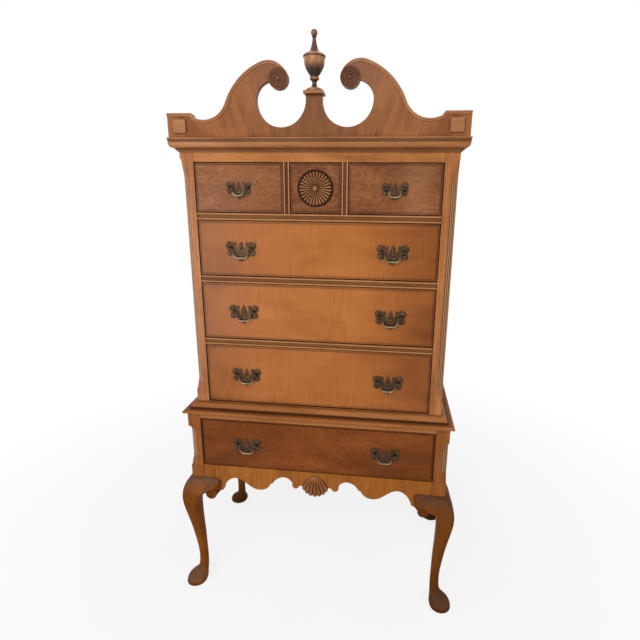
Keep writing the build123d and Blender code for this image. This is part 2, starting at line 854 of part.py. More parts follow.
with BuildPart() as urn_finial:
    with BuildSketch(Plane(origin=(0, finial_y, cap_top), x_dir=(1, 0, 0), z_dir=(0, -1, 0))):
        with BuildLine():
            Polyline(turned(0, 1), (0, 0), turned(0.74, 0), turned(0.74, 0.036))
            stem = (turned(0.5, 0.062), turned(0.27, 0.092), turned(0.2, 0.14))
            Spline(turned(0.74, 0.036), *stem, turned(0.25, 0.175))
            ThreePointArc(turned(0.25, 0.175), turned(0.43, 0.212), turned(0.36, 0.248))
            Spline(turned(0.36, 0.248), turned(0.65, 0.337), turned(0.86, 0.435), turned(0.92, 0.545))
            Line(turned(0.92, 0.545), turned(0.98, 0.55))
            ThreePointArc(turned(0.98, 0.55), turned(1, 0.565), turned(0.97, 0.58))
            Spline(turned(0.97, 0.58), turned(0.82, 0.606), turned(0.62, 0.622), turned(0.46, 0.643))
            Spline(turned(0.46, 0.643), turned(0.32, 0.69), turned(0.2, 0.78), turned(0.14, 0.86))
            Polyline(turned(0.14, 0.86), turned(0.2, 0.866), turned(0.2, 0.88), turned(0.13, 0.888))
            round_end(turned(0.13, 0.888), finial_height)
        make_face()
    revolve(axis=Axis((0, finial_y, 0), (0, 0, 1)))
keep("urn_finial", urn_finial.part)


# Pulls: a bat-wing plate, two posts with nuts, and a hanging bail, with the plate's back at Y = 0
def wing_plate(share):
    """The back plate, sawn from sheet round a leaf and six lobes, with two holes for the posts."""
    half = share * plate_width / 2

    def sawn(x, z):
        return (half * x, half * z)

    with BuildPart() as plate:
        with BuildSketch(Plane.XZ):
            with BuildLine():
                ThreePointArc(sawn(0, 0.46), sawn(0.15, 0.16), sawn(0.2, -0.06))
                Polyline(sawn(0.2, -0.06), sawn(0.28, -0.02), sawn(0.34, 0.24), sawn(0.74, 0.19))
                Polyline(sawn(0.74, 0.19), sawn(0.8, -0.02), sawn(0.72, -0.25), sawn(0.5, -0.46))
                ThreePointArc(sawn(0.5, -0.46), sawn(0.22, -0.64), sawn(0, -0.86))
                Line(sawn(0, -0.86), sawn(0, 0.46))
            make_face()
            for x, z, radius in ((0.74, 0.19, 0.26), (0.41, 0.29, 0.12), (0.72, -0.25, 0.22)):
                with Locations(sawn(x, z)):
                    Circle(half * radius)
            mirror(about=Plane.YZ)
            with Locations((share * post_spacing / 2, 0), (-share * post_spacing / 2, 0)):
                Circle(shank_radius + shank_clearance, mode=Mode.SUBTRACT)
        extrude(amount=plate_thickness)
    return plate.part


def pull_post(x):
    """One post: a shank through the drawer front, a flange, a stem and a round head with a cross hole."""
    flange_back = plate_thickness + glue_gap
    flange_front = flange_back + flange_thickness
    head_back = pivot_out - sqrt(post_head**2 - post_stem**2)
    tail = -(front_thickness + shank_tail)
    with BuildPart() as post:
        with BuildSketch(Plane(origin=(x, 0, 0), x_dir=(1, 0, 0), z_dir=(0, 0, -1))):
            with BuildLine():
                Polyline(
                    (0, pivot_out + post_head),
                    (0, tail),
                    (shank_radius, tail),
                    (shank_radius, flange_back),
                    (post_flange, flange_back),
                    (post_flange, flange_front),
                    (post_stem, flange_front),
                    (post_stem, head_back),
                )
                ThreePointArc((post_stem, head_back), (post_head, pivot_out), (0, pivot_out + post_head))
            make_face()
        revolve(axis=Axis((x, 0, 0), (0, 1, 0)))
        with Locations(Plane(origin=(x, -pivot_out, 0), x_dir=(0, 1, 0), z_dir=(1, 0, 0))):
            Cylinder(bail_rod + pin_clearance, 3 * post_head, mode=Mode.SUBTRACT)
    return post.part


def shank_nut(x):
    """The nut that holds one post, inside the drawer front."""
    with BuildPart() as nut:
        with BuildSketch(Plane.XZ.offset(-(front_thickness + nut_thickness))):
            with Locations((x, 0)):
                RegularPolygon(nut_radius, 6)
                Circle(shank_radius + glue_gap, mode=Mode.SUBTRACT)
        extrude(amount=nut_thickness)
    return nut.part


def bail(share):
    """The handle: one round rod from pin to pin, hanging straight down."""
    pin = share * post_spacing / 2
    end = pin + post_head + pin_tail
    leg = pin - post_head - head_clearance - bail_shoulder
    foot = leg - share * bail_taper
    drop = -share * bail_drop
    corners = ((end, 0), (leg, 0), (foot, drop), (-foot, drop), (-leg, 0), (-end, 0))
    corner_radius = share * bail_corner
    with BuildPart() as handle:
        with BuildLine(Plane(origin=(0, -pivot_out, 0), x_dir=(1, 0, 0), z_dir=(0, -1, 0))) as rod:
            FilletPolyline(*corners, radius=(bail_shoulder, corner_radius, corner_radius, bail_shoulder))
        with BuildSketch(Plane(origin=rod.line @ 0, z_dir=rod.line % 0)):
            Circle(bail_rod)
        sweep(path=rod.line)
    return handle.part


pull_sets = {}
for size, share in (("large", 1), ("small", small_pull_share)):
    pins = (-share * post_spacing / 2, share * post_spacing / 2)
    fixed = [wing_plate(share)] + [pull_post(x) for x in pins] + [shank_nut(x) for x in pins]
    pull_sets[size] = (pins, fixed, bail(share))


# Drawers: a lipped front, and a box of two sides, a back and a bottom
def drawer(name, opening, level, height, case, pulls, size):
    """One drawer with its pulls, from its opening's ends, its runner level and the case's front and back."""
    case_front, case_back = case
    left = opening[0] + drawer_gap
    right = opening[1] - drawer_gap
    low = level + drawer_gap
    high = level + height - drawer_gap
    face = case_front + front_recess
    rear = face + front_thickness
    middle = level + height / 2
    pins, fixed, handle = pull_sets[size]
    with BuildPart() as front_board:
        slab((left, right), (face + lip_step, rear), (low, high))
        field = (low + lip_width, high - lip_width)
        slab((left + lip_width, right - lip_width), (face, face + lip_step), field)
        fillet(front_board.faces().sort_by(Axis.Y)[0].edges(), lip_round)
        for x in pulls:
            with Locations([Plane(origin=(x + pin, rear, middle), z_dir=(0, -1, 0)) for pin in pins]):
                Cylinder(shank_radius + shank_clearance, 3 * front_thickness, mode=Mode.SUBTRACT)
    keep(f"{name}_drawer_front", front_board.part)

    end = case_back - drawer_clearance
    side_low = level + runner_gap
    side_high = level + height - side_clearance
    inner_left = left + drawer_side
    inner_right = right - drawer_side
    with BuildPart() as box:
        slab((left, inner_left), (rear, end), (side_low, side_high))
        slab((inner_right, right), (rear, end), (side_low, side_high))
        between = (inner_left + glue_gap, inner_right - glue_gap)
        back_front = end - drawer_back
        slab(between, (back_front, end), (side_low, side_high - back_drop))
        bottom_low = side_low + bottom_rise
        slab(between, (rear, back_front - glue_gap), (bottom_low, bottom_low + drawer_bottom))
    keep(f"{name}_drawer_box", box.part)

    if not pulls:
        return
    with BuildPart() as plates:
        add([Pos(x, face, middle) * piece for x in pulls for piece in fixed])
    keep(f"{name}_pull_plates", plates.part)
    for x in pulls:
        word = "" if len(pulls) == 1 else ("left_" if x < 0 else "right_")
        keep(f"{name}_{word}bail", Pos(x, face, middle) * handle)


wide = (-opening_half, opening_half)
pair = (-pull_place, pull_place)
outer_middle = (divider_far + opening_half) / 2
left_opening = (-opening_half, -divider_far)
right_opening = (divider_far, opening_half)
centre_opening = (-divider_near, divider_near)
upper_case = (upper_front, panel_front)
base_case = (base_front, base_panel_front)
drawer("top_left", left_opening, top_level, top_opening, upper_case, (-outer_middle,), "small")
drawer("top_centre", centre_opening, top_level, top_opening, upper_case, (), "small")
drawer("top_right", right_opening, top_level, top_opening, upper_case, (outer_middle,), "small")
drawer("second", wide, second_level, second_opening, upper_case, pair, "large")
drawer("third", wide, third_level, third_opening, upper_case, pair, "large")
drawer("fourth", wide, fourth_level, fourth_opening, upper_case, pair, "large")
drawer("base", base_rail, base_sill, base_opening, base_case, pair, "large")

# Sunburst: a disc with a rim, grooves between the rays, a sunk hub and a knob
sunburst_face = Plane(
    origin=(0, upper_front + front_recess, top_level + top_opening / 2), x_dir=(1, 0, 0), z_dir=(0, -1, 0)
)
ray_end = sunburst_radius - sunburst_rim
with BuildPart() as sunburst_carving:
    with BuildSketch(sunburst_face):
        Circle(sunburst_radius)
    extrude(amount=sunburst_relief)
    with BuildSketch(sunburst_face.offset(sunburst_relief)):
        with PolarLocations(0, ray_count):
            ray_start = hub_radius - ray_root
            foot = ray_root / 2
            tip = ray_width / 2
            Polygon((ray_start, -foot), (ray_end, -tip), (ray_end, tip), (ray_start, foot), align=None)
    extrude(amount=-ray_depth, mode=Mode.SUBTRACT)
    with BuildSketch(sunburst_face.offset(sunburst_relief)):
        Circle(hub_radius)
    extrude(amount=-hub_depth, mode=Mode.SUBTRACT)
    with BuildSketch(Plane(origin=sunburst_face.origin, x_dir=(1, 0, 0), z_dir=(0, 0, -1))):
        with BuildLine():
            knob_foot = (sqrt(boss_radius**2 - (boss_reach - boss_radius) ** 2), 0)
            Polyline((0, boss_reach), (0, 0), knob_foot)
            round_end(knob_foot, boss_reach)
        make_face()
    revolve(axis=Axis(sunburst_face.origin, (0, 1, 0)))
keep("sunburst_carving", sunburst_carving.part)
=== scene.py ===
import json
import math
from types import SimpleNamespace

import bmesh
import bpy
from mathutils import Matrix, Vector

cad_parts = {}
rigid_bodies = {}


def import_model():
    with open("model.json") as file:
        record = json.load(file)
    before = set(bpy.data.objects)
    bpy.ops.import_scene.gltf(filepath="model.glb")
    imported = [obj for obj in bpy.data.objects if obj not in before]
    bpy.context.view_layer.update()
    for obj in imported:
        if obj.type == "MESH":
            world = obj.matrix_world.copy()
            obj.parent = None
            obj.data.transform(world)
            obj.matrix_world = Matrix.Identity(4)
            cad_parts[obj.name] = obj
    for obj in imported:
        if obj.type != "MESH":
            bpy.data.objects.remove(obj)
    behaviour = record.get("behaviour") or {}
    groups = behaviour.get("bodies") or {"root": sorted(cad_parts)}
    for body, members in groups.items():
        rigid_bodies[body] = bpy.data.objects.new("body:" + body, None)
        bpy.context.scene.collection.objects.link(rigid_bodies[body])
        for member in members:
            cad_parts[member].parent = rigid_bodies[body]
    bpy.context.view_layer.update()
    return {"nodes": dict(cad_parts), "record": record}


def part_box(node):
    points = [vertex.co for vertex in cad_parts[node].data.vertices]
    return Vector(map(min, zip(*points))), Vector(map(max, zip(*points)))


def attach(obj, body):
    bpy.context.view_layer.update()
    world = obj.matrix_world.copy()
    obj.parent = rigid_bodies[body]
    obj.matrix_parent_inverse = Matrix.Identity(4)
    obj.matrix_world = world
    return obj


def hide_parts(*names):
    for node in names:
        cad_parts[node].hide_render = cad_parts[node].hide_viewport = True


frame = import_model()
nodes = frame["nodes"]
record = frame["record"]

# Lengths are in metres, and colours are display values from 0 to 255, unless a comment says otherwise

# Camera, fitted to the photograph's square frame
frame_px = 640
focal_px = 443.7
principal_px = (342.6, 314.3)
sensor_mm = 36
camera_place = Vector((0.2586, -1.6773, 1.5167))
camera_yaw = math.radians(6.458)
camera_pitch = math.radians(14.442)
camera_roll = math.radians(-0.687)


def link(thing):
    """Puts an object into the scene."""
    bpy.context.scene.collection.objects.link(thing)


def add_camera():
    """The photograph's camera: turned left by yaw, down by pitch, and rolled about its own axis."""
    forward = Vector((
        -math.sin(camera_yaw) * math.cos(camera_pitch),
        math.cos(camera_yaw) * math.cos(camera_pitch),
        -math.sin(camera_pitch),
    ))
    right = Vector((math.cos(camera_yaw), math.sin(camera_yaw), 0))
    down = forward.cross(right)
    rolled_right = math.cos(camera_roll) * right + math.sin(camera_roll) * down
    rolled_down = math.cos(camera_roll) * down - math.sin(camera_roll) * right
    data = bpy.data.cameras.new("camera")
    data.sensor_width = sensor_mm
    data.lens = focal_px / frame_px * sensor_mm
    data.shift_x = 0.5 - principal_px[0] / frame_px
    data.shift_y = principal_px[1] / frame_px - 0.5
    camera = bpy.data.objects.new("camera", data)
    turn = Matrix((rolled_right, -rolled_down, -forward)).transposed().to_4x4()
    camera.matrix_world = Matrix.Translation(camera_place) @ turn
    link(camera)
    bpy.context.scene.camera = camera


# Helpers for node trees
def srgb(red, green, blue):
    """A display colour as Blender's linear colour."""
    shares = (value / 255 for value in (red, green, blue))
    return tuple(v / 12.92 if v <= 0.04045 else ((v + 0.055) / 1.055) ** 2.4 for v in shares) + (1,)


def new_material(name):
    """An empty node material, its tree and its output node."""
    material = bpy.data.materials.new(name)
    material.use_nodes = True
    tree = material.node_tree
    tree.nodes.clear()
    return material, tree, tree.nodes.new("ShaderNodeOutputMaterial")


def node(tree, kind, inputs, **settings):
    """A node with its settings, and with its inputs set to values or linked to other sockets."""
    made = tree.nodes.new(kind)
    for name, value in settings.items():
        setattr(made, name, value)
    for name, value in inputs.items():
        if isinstance(value, bpy.types.NodeSocket):
            tree.links.new(value, made.inputs[name])
        else:
            made.inputs[name].default_value = value
    return made


def calc(tree, operation, *values):
    """One sum on sockets or numbers."""
    return node(tree, "ShaderNodeMath", dict(enumerate(values)), operation=operation).outputs[0]


def product(tree, first, *others):
    """Sockets or numbers multiplied together."""
    for other in others:
        first = calc(tree, "MULTIPLY", first, other)
    return first


def scaled(tree, vector, scale):
    """A vector stretched along the three axes."""
    return node(tree, "ShaderNodeVectorMath", {0: vector, 1: scale}, operation="MULTIPLY").outputs[0]


def split(tree, vector):
    """A vector's three parts."""
    return node(tree, "ShaderNodeSeparateXYZ", {0: vector}).outputs


def object_place(tree):
    """The object's own coordinates, which are the chest's at rest and move with the piece."""
    return node(tree, "ShaderNodeTexCoord", {}).outputs["Object"]


def noise(tree, vector, scale, detail=3.0, distortion=0.0):
    """Noise about zero, from about -0.5 to 0.5, with a scale in waves per metre."""
    inputs = {"Vector": vector, "Scale": scale, "Detail": detail, "Distortion": distortion}
    return calc(tree, "SUBTRACT", node(tree, "ShaderNodeTexNoise", inputs).outputs[0], 0.5)


def blend(tree, factor, first, second):
    """Two colours mixed by a factor."""
    mixer = node(tree, "ShaderNodeMix", {}, data_type="RGBA", blend_type="MIX")
    colour_sockets = (mixer.inputs[0], mixer.inputs[6], mixer.inputs[7])
    for socket, value in zip(colour_sockets, (factor, first, second)):
        if isinstance(value, bpy.types.NodeSocket):
            tree.links.new(value, socket)
        else:
            socket.default_value = value
    return mixer.outputs[2]


def ramp(tree, factor, stops):
    """Colours along a ramp, from pairs of place and colour."""
    made = node(tree, "ShaderNodeValToRGB", {0: factor})
    elements = made.color_ramp.elements
    while len(elements) < len(stops):
        elements.new(0.5)
    for element, (place, colour) in zip(elements, stops):
        element.position = place
        element.color = colour
    return made.outputs[0]


def span_share(tree, value, low, high):
    """How far a value lies from low to high, held between 0 and 1."""
    inputs = {"Value": value, "From Min": low, "From Max": high}
    return node(tree, "ShaderNodeMapRange", inputs).outputs[0]


edge_samples = 4


def edges(tree, radius):
    """Normals with softened edges, the plain normals, and how well the two agree."""
    soft = node(tree, "ShaderNodeBevel", {"Radius": radius}, samples=edge_samples).outputs[0]
    flat = node(tree, "ShaderNodeNewGeometry", {}).outputs["Normal"]
    agreement = node(tree, "ShaderNodeVectorMath", {0: soft, 1: flat}, operation="DOT_PRODUCT")
    return soft, flat, agreement.outputs["Value"]


def openness(tree, distance, samples):
    """How open a point is to its surroundings within a distance."""
    return node(tree, "ShaderNodeAmbientOcclusion", {"Distance": distance}, samples=samples).outputs["AO"]


def bumped(tree, height, distance, strength, normal):
    """Normals with a fine relief."""
    inputs = {"Height": height, "Distance": distance, "Strength": strength, "Normal": normal}
    return node(tree, "ShaderNodeBump", inputs).outputs[0]


def past(tree, axis, start, full, fading=None, gone=None):
    """How far a coordinate has gone from start to full, and faded again; offX is X counted both ways."""
    value = split(tree, object_place(tree))["XYZ".index(axis[-1])]
    if axis.startswith("off"):
        value = calc(tree, "ABSOLUTE", value)
    share = span_share(tree, value, start, full)
    if gone is None:
        return share
    return product(tree, share, span_share(tree, value, gone, fading))


# The grain of all woods: how it is stretched, and each noise's scale, detail and distortion. The streaks and
# the cross figure have the scale that a wood's finish gives
grain_stretch = {"X": (0.05, 1, 1), "Z": (1, 1, 0.05), "level": (0.05, 0.05, 1)}
fibre_noise = (420.0, 4.0, 0.4)
streak_noise = (3.0, 0.6)
cloud_noise = (6.5, 3.0, 0.8)
cloud_stretch = 0.45
middle_tone = 0.5
tone_places = (0.22, 0.5, 0.8)

# Cross figure in patches
figure_stretch = {"X": (1, 0.3, 0.07), "Z": (0.07, 0.07, 1)}
figure_noise = (2.5, 0.25)
patch_noise = (4.5, 1.0)
patch_span = (-0.12, 0.16)

# Burl: swirls, and the small eyes among them
swirl_stretch = (0.55, 1, 1)
swirl_noise = (66.0, 6.0, 1.6)
eye_scale = 85.0
eye_span = (0.1, 0.45)
eye_strength = 0.12

# Darker ends of the wide fronts, a toned finish and painted shade where the light falls off, about a middle
# that lies to the left, where the figure is plainest
shade_middle = -0.03
shade_waver = 0.1
shade_span = (0.16, 0.46)
middle_figure = 1.2

# The pediment's veneer fans out from a point below it
fan_root = 0.95
fan_width = 0.85

# Age and painted light: worn edges, dust with painted sheen and dirt with painted shade on what faces up,
# painted shade in corners and in the hollows of carving, and painted highlights
dirt_and_shade_colour = srgb(44, 18, 4)
# Colours of the painted shade in carved hollows
deep_groove = srgb(44, 23, 11)
soft_groove = srgb(62, 34, 19)
painted_highlight_colour = srgb(222, 166, 118)
# Dust and painted sheen on what faces up, such as the knee and foot tops
dust_and_sheen_colour = srgb(106, 82, 70)
groove_span = (0.15, 0.75)
wood_edge = 0.0009
worn_span = (0.97, 0.8)
worn_streaks = (-0.2, 0.15)
worn_strength = 0.45
dust_and_sheen_span = (0.05, 0.75)
# Dirt and painted shade on what faces up, such as the dark line in the gap under the drawers
ledge_span = (0.15, 0.6)
# Painted shade, partly grime: darker where the surface is hemmed in, in corners and recesses
wood_shelter = 0.012
wood_shelter_samples = 8
corner_shade_span = (0.25, 0.85)

# The fluted cants of the corner posts: the band's half width, its ends, and depths from the cant's face
flute_band = (0.0135, 0.0125)
flute_end = 0.004
# The flutes' hollows get painted shade and the fillets between them a painted highlight
hollow_depth = (0.0002, 0.0012)
hollow_strength = 0.9
fillet_depth = (-0.0008, -0.0002)
fillet_strength = 0.8

# Polish: how streaks and the painted corner shade change the roughness, and how deep the pores are
streak_roughness = 0.16
corner_shade_roughness = 0.2
streak_pores = 0.6
pore_depth = 0.0004
pore_strength = 0.22
coat_roughness = 0.16

usual_finish = {
    "tone": 1.0,  # strength of the broad clouds
    "fibre": 0.5,  # strength of the fibres and streaks
    "streak_scale": 60.0,
    "stripe": 0.0,  # strength of the cross figure
    "stripe_scale": 55.0,
    "burl": 0.0,  # strength of the burl
    "shade": 0.0,  # how much darker the ends of a wide front are: toned finish and painted shade
    "groove": None,  # colour of the painted shade in a carved mesh's hollows
    "rough": 0.38,
    "shine": 0.16,
    "coat": 0.05,
    "grime": 0.75,  # grime and painted shade in the corners
    "dust": 0.0,  # dust and painted sheen on what faces up
    "ledge": 0.0,  # dirt and painted shade on what faces up
    "toned": (),  # places painted darker: painted shade in gaps, recesses, hollows and under overhangs, and a few real dark joints and tones
    "lit": (),  # places painted paler: painted highlights and a painted patch of light
    "flutes": None,  # the fluted cant of a corner post
}


def grain_space(tree, kind):
    """The coordinates that a grain follows, and its axis in them."""
    place = object_place(tree)
    if kind != "fan":
        return place, kind
    parts = split(tree, place)
    across = calc(tree, "ABSOLUTE", parts[0])
    up = calc(tree, "SUBTRACT", parts[2], fan_root)
    angle = calc(tree, "ARCTAN2", across, up)
    squares = calc(tree, "ADD", calc(tree, "POWER", across, 2.0), calc(tree, "POWER", up, 2.0))
    away = calc(tree, "SQRT", squares)
    around = product(tree, angle, fan_width)
    return node(tree, "ShaderNodeCombineXYZ", {0: around, 1: parts[1], 2: away}).outputs[0], "Z"


def shaded_ends(tree, place, clouds):
    """How near a point of a wide front is to its darker ends."""
    off_middle = calc(tree, "ABSOLUTE", calc(tree, "ADD", split(tree, place)[0], -shade_middle))
    return span_share(tree, calc(tree, "ADD", off_middle, product(tree, clouds, shade_waver)), *shade_span)


def cross_figure(tree, place, along, scale):
    """Stripes across the grain, in patches."""
    bands = noise(tree, scaled(tree, place, figure_stretch[along]), scale, *figure_noise)
    return product(tree, bands, span_share(tree, noise(tree, place, *patch_noise), *patch_span))


def burl_figure(tree, place):
    """Swirls with dark eyes among them."""
    swirls = noise(tree, scaled(tree, place, swirl_stretch), *swirl_noise)
    inputs = {"Vector": place, "Scale": eye_scale, "Randomness": 1.0}
    eyes = node(tree, "ShaderNodeTexVoronoi", inputs).outputs[0]
    spots = calc(tree, "SUBTRACT", 0.5, span_share(tree, eyes, *eye_span))
    return calc(tree, "SUBTRACT", swirls, product(tree, spots, eye_strength))


def grain_tone(tree, place, along, look):
    """The tone that a wood's patterns add up to, and its fibres and streaks."""
    fine = scaled(tree, place, grain_stretch[along])
    broad = scaled(tree, place, tuple(max(share, cloud_stretch) for share in grain_stretch[along]))
    fibres = noise(tree, fine, *fibre_noise)
    streaks = noise(tree, fine, look.streak_scale, *streak_noise)
    clouds = noise(tree, broad, *cloud_noise)
    level = calc(tree, "MULTIPLY_ADD", clouds, look.tone, middle_tone)
    for pattern in (fibres, streaks):
        level = calc(tree, "ADD", level, product(tree, pattern, look.fibre))
    if look.shade:
        ends = shaded_ends(tree, place, clouds)
        level = calc(tree, "SUBTRACT", level, product(tree, ends, look.shade))
    if look.stripe:
        figure = cross_figure(tree, place, along, look.stripe_scale)
        if look.shade:
            figure = product(tree, figure, calc(tree, "SUBTRACT", middle_figure, ends))
        level = calc(tree, "ADD", level, product(tree, figure, look.stripe))
    if look.burl:
        level = calc(tree, "ADD", level, product(tree, burl_figure(tree, place), look.burl))
    return level, fibres, streaks


def on_cant(tree, corner, front, depth, low, high):
    """How far a point of a post's canted face is in a flute's hollow, and on a fillet between two flutes."""
    parts = split(tree, object_place(tree))
    inward = calc(tree, "SUBTRACT", corner, calc(tree, "ABSOLUTE", parts[0]))
    backward = calc(tree, "SUBTRACT", parts[1], front)
    cut = product(tree, calc(tree, "ADD", inward, backward), math.sqrt(0.5))
    beside = calc(tree, "ABSOLUTE", product(tree, calc(tree, "SUBTRACT", backward, inward), math.sqrt(0.5)))
    within = product(
        tree,
        span_share(tree, beside, *flute_band),
        span_share(tree, parts[2], low - flute_end, low),
        span_share(tree, parts[2], high + flute_end, high),
    )
    return tuple(
        product(tree, within, span_share(tree, cut, depth + start, depth + full))
        for start, full in (hollow_depth, fillet_depth)
    )


def soiled_and_shaded(tree, colour, flat, look):
    """A wood's colour with its dust and painted sheen, its dirt and painted shade, its painted highlights and
    darker tones, and its flutes' painted shade and highlights.
    """
    upward = split(tree, flat)[2]
    for strength, span, tint in ((look.dust, dust_and_sheen_span, dust_and_sheen_colour), (look.ledge, ledge_span, dirt_and_shade_colour)):
        if strength:
            colour = blend(tree, product(tree, span_share(tree, upward, *span), strength), colour, tint)
    for rows, tint in ((look.lit, painted_highlight_colour), (look.toned, dirt_and_shade_colour)):
        for strength, *bands in rows:
            for band in bands:
                strength = product(tree, past(tree, *band), strength)
            colour = blend(tree, strength, colour, tint)
    if look.flutes:
        # painted highlight on the fillets and painted shade in the hollows
        hollow, fillet = on_cant(tree, *look.flutes)
        colour = blend(tree, product(tree, fillet, fillet_strength), colour, painted_highlight_colour)
        colour = blend(tree, product(tree, hollow, hollow_strength), colour, dirt_and_shade_colour)
    return colour


def wood(name, grain, dark, mid, light, **changes):
    """Polished wood in three colours, with the usual finish but for the named changes."""
    look = SimpleNamespace(**{**usual_finish, **changes})
    tones = tuple(srgb(*colour) for colour in (dark, mid, light))
    material, tree, output = new_material(name)
    level, fibres, streaks = grain_tone(tree, *grain_space(tree, grain), look)
    colour = ramp(tree, level, tuple(zip(tone_places, tones)))
    # painted shade in the hollows of carving
    if look.groove:
        height = node(tree, "ShaderNodeAttribute", {}, attribute_name="ridge").outputs["Fac"]
        colour = blend(tree, span_share(tree, height, *groove_span), look.groove, colour)
    soft_edge, flat, facing = edges(tree, wood_edge)
    worn = product(tree, span_share(tree, facing, *worn_span), span_share(tree, streaks, *worn_streaks))
    colour = blend(tree, product(tree, worn, worn_strength), colour, tones[-1])
    colour = soiled_and_shaded(tree, colour, flat, look)
    # painted shade, partly grime, in corners and recesses where the surface is hemmed in
    open_share = span_share(tree, openness(tree, wood_shelter, wood_shelter_samples), *corner_shade_span)
    corner_shade = product(tree, calc(tree, "SUBTRACT", 1.0, open_share), look.grime)
    colour = blend(tree, corner_shade, colour, dirt_and_shade_colour)
    rough = calc(tree, "ADD", product(tree, streaks, streak_roughness), look.rough)
    rough = calc(tree, "ADD", rough, product(tree, corner_shade, corner_shade_roughness))
    pores = calc(tree, "ADD", fibres, product(tree, streaks, streak_pores))
    shader = node(tree, "ShaderNodeBsdfPrincipled", {
        "Base Color": colour,
        "Roughness": rough,
        "Normal": bumped(tree, pores, pore_depth, pore_strength, soft_edge),
        "Specular IOR Level": look.shine,
        "Coat Weight": look.coat,
        "Coat Roughness": coat_roughness,
    })
    tree.links.new(shader.outputs[0], output.inputs[0])
    return material


# Places that are darker or paler than the rest: a strength, and then bands that all have to hold. A band is
# an axis, where it starts and where it is full, and where given, where it starts to fade and where it is gone
# Painted shade: the rails' recesses and the gaps behind the drawers are dark, and the rails below the frieze
# darker. The bead crests get a painted highlight
rail_recess = (0.5, ("Y", -0.2140, -0.2126))
rail_gap = (1.0, ("Y", -0.2113, -0.2107), ("Z", 0.755, 0.765))
lower_rail_shade = (0.2, ("Z", 1.63, 1.61))
bead_crest = (0.38, ("Y", -0.2136, -0.2145), ("Z", 1.63, 1.61), ("Z", 0.88, 0.9))
base_rail_gap = (1.0, ("Y", -0.2413, -0.2407), ("Z", 0.765, 0.755))
frieze_joint = (0.6, ("offX", 0.4026, 0.4038), ("Y", -0.235, -0.225))
# Painted shade in the dividers' recesses and in the gaps beside the drawers. The divider beads get a painted
# highlight
divider_recess = (0.72, ("Y", -0.2146, -0.2128))
divider_crest = (0.5, ("Y", -0.2136, -0.2145))
post_gap = (1.0, ("Y", -0.2135, -0.2125), ("offX", 0.4056, 0.4052))
base_post_gap = (1.0, ("Y", -0.2435, -0.2425), ("offX", 0.4326, 0.4322))
# Painted shade on the drawers' sunk lips and in the gaps around them
upper_lip = ((0.3, ("Y", -0.2126, -0.2108)), (0.95, ("Y", -0.2104, -0.2098)))
base_lip_reach = ("Z", 0.534, 0.545)
base_lip = (
    (0.45, ("Y", -0.2426, -0.2408), base_lip_reach),
    (0.95, ("Y", -0.2404, -0.2398), base_lip_reach),
)
# Painted shade on the second drawer's upper left, under the rail, and a painted patch of light on the right
# of the top drawers
drawer_shade = (0.12, ("X", -0.12, -0.34), ("Z", 1.22, 1.34))
burl_glow = (0.12, ("X", 0.25, 0.31, 0.35, 0.4))
# Painted shade in the waist moulding's hollow and in the cornice's bed and fascia
waist_hollow = (0.9, ("Z", 0.757, 0.7585, 0.7635, 0.766))
cornice_bed = (0.45, ("Z", 1.674, 1.669))
cornice_fascia = (0.5, ("Z", 1.689, 1.691, 1.699, 1.7))
pediment_middle = (0.3, ("offX", 0.16, 0.02))
# Painted shade: the right-hand legs darker, the feet dark where they meet the floor, and the rear feet
# darker. The ankles are darker towards the floor
leg_right_shade = (0.42, ("X", 0.0, 0.45))
ankle_tone = (0.26, ("Z", 0.18, 0.12, 0.06, 0.03))
foot_contact_shade = (0.6, ("Z", 0.02, 0.003))
rear_foot_shade = (0.55, ("Z", 0.13, 0.05))

# Each cant's corner, front, depth, and the flutes' lower and upper ends
upper_flutes = (0.45, -0.215, 0.01768, 0.881, 1.563)
base_flutes = (0.48, -0.245, 0.01838, 0.574, 0.655)

case_colours = {"dark": (124, 71, 33), "mid": (166, 104, 56), "light": (194, 132, 80)}
rail_colours = {"dark": (122, 70, 34), "mid": (170, 110, 62), "light": (198, 138, 86)}
leg_colours = {"dark": (76, 38, 8), "mid": (128, 71, 20), "light": (154, 92, 36)}
inner_colours = {"dark": (148, 98, 58), "mid": (188, 138, 90), "light": (212, 168, 120)}

case_wood = wood(
    "case_wood", "Z", **case_colours,
    tone=0.7, stripe=0.3,
)
post_wood = wood(
    "post_wood", "Z", **case_colours,
    tone=0.7, stripe=0.3, toned=(post_gap,), flutes=upper_flutes,
)
base_post_wood = wood(
    "base_post_wood", "Z", dark=(104, 56, 20), mid=(138, 79, 32), light=(168, 106, 52),
    tone=0.7, stripe=0.3, shine=0.1, toned=(base_post_gap,), flutes=base_flutes,
)
rail_wood = wood(
    "rail_wood", "X", **rail_colours,
    tone=0.6, fibre=0.3, stripe=0.25, grime=0.9, shine=0.05, coat=0.0, ledge=0.5,
    toned=(rail_recess, rail_gap, base_rail_gap, lower_rail_shade, frieze_joint), lit=(bead_crest,),
)
divider_wood = wood(
    "divider_wood", "Z", **rail_colours,
    tone=0.6, fibre=0.3, grime=0.9, shine=0.06, toned=(divider_recess, lower_rail_shade),
    lit=(divider_crest,),
)
moulding_wood = wood(
    "moulding_wood", "X", dark=(112, 62, 28), mid=(152, 93, 48), light=(184, 124, 74),
    tone=0.6, fibre=0.3, grime=0.95, shine=0.05, coat=0.0, toned=(waist_hollow,),
)
cornice_wood = wood(
    "cornice_wood", "X", dark=(116, 66, 32), mid=(160, 102, 57), light=(192, 132, 82),
    tone=0.6, fibre=0.3, grime=1.0, toned=(cornice_bed, cornice_fascia),
)
drawer_wood = wood(
    "drawer_wood", "X", dark=(112, 58, 17), mid=(164, 96, 42), light=(188, 122, 64),
    tone=0.5, fibre=0.08, stripe=0.42, stripe_scale=170.0, shade=0.24, shine=0.18,
    toned=upper_lip + (drawer_shade,),
)
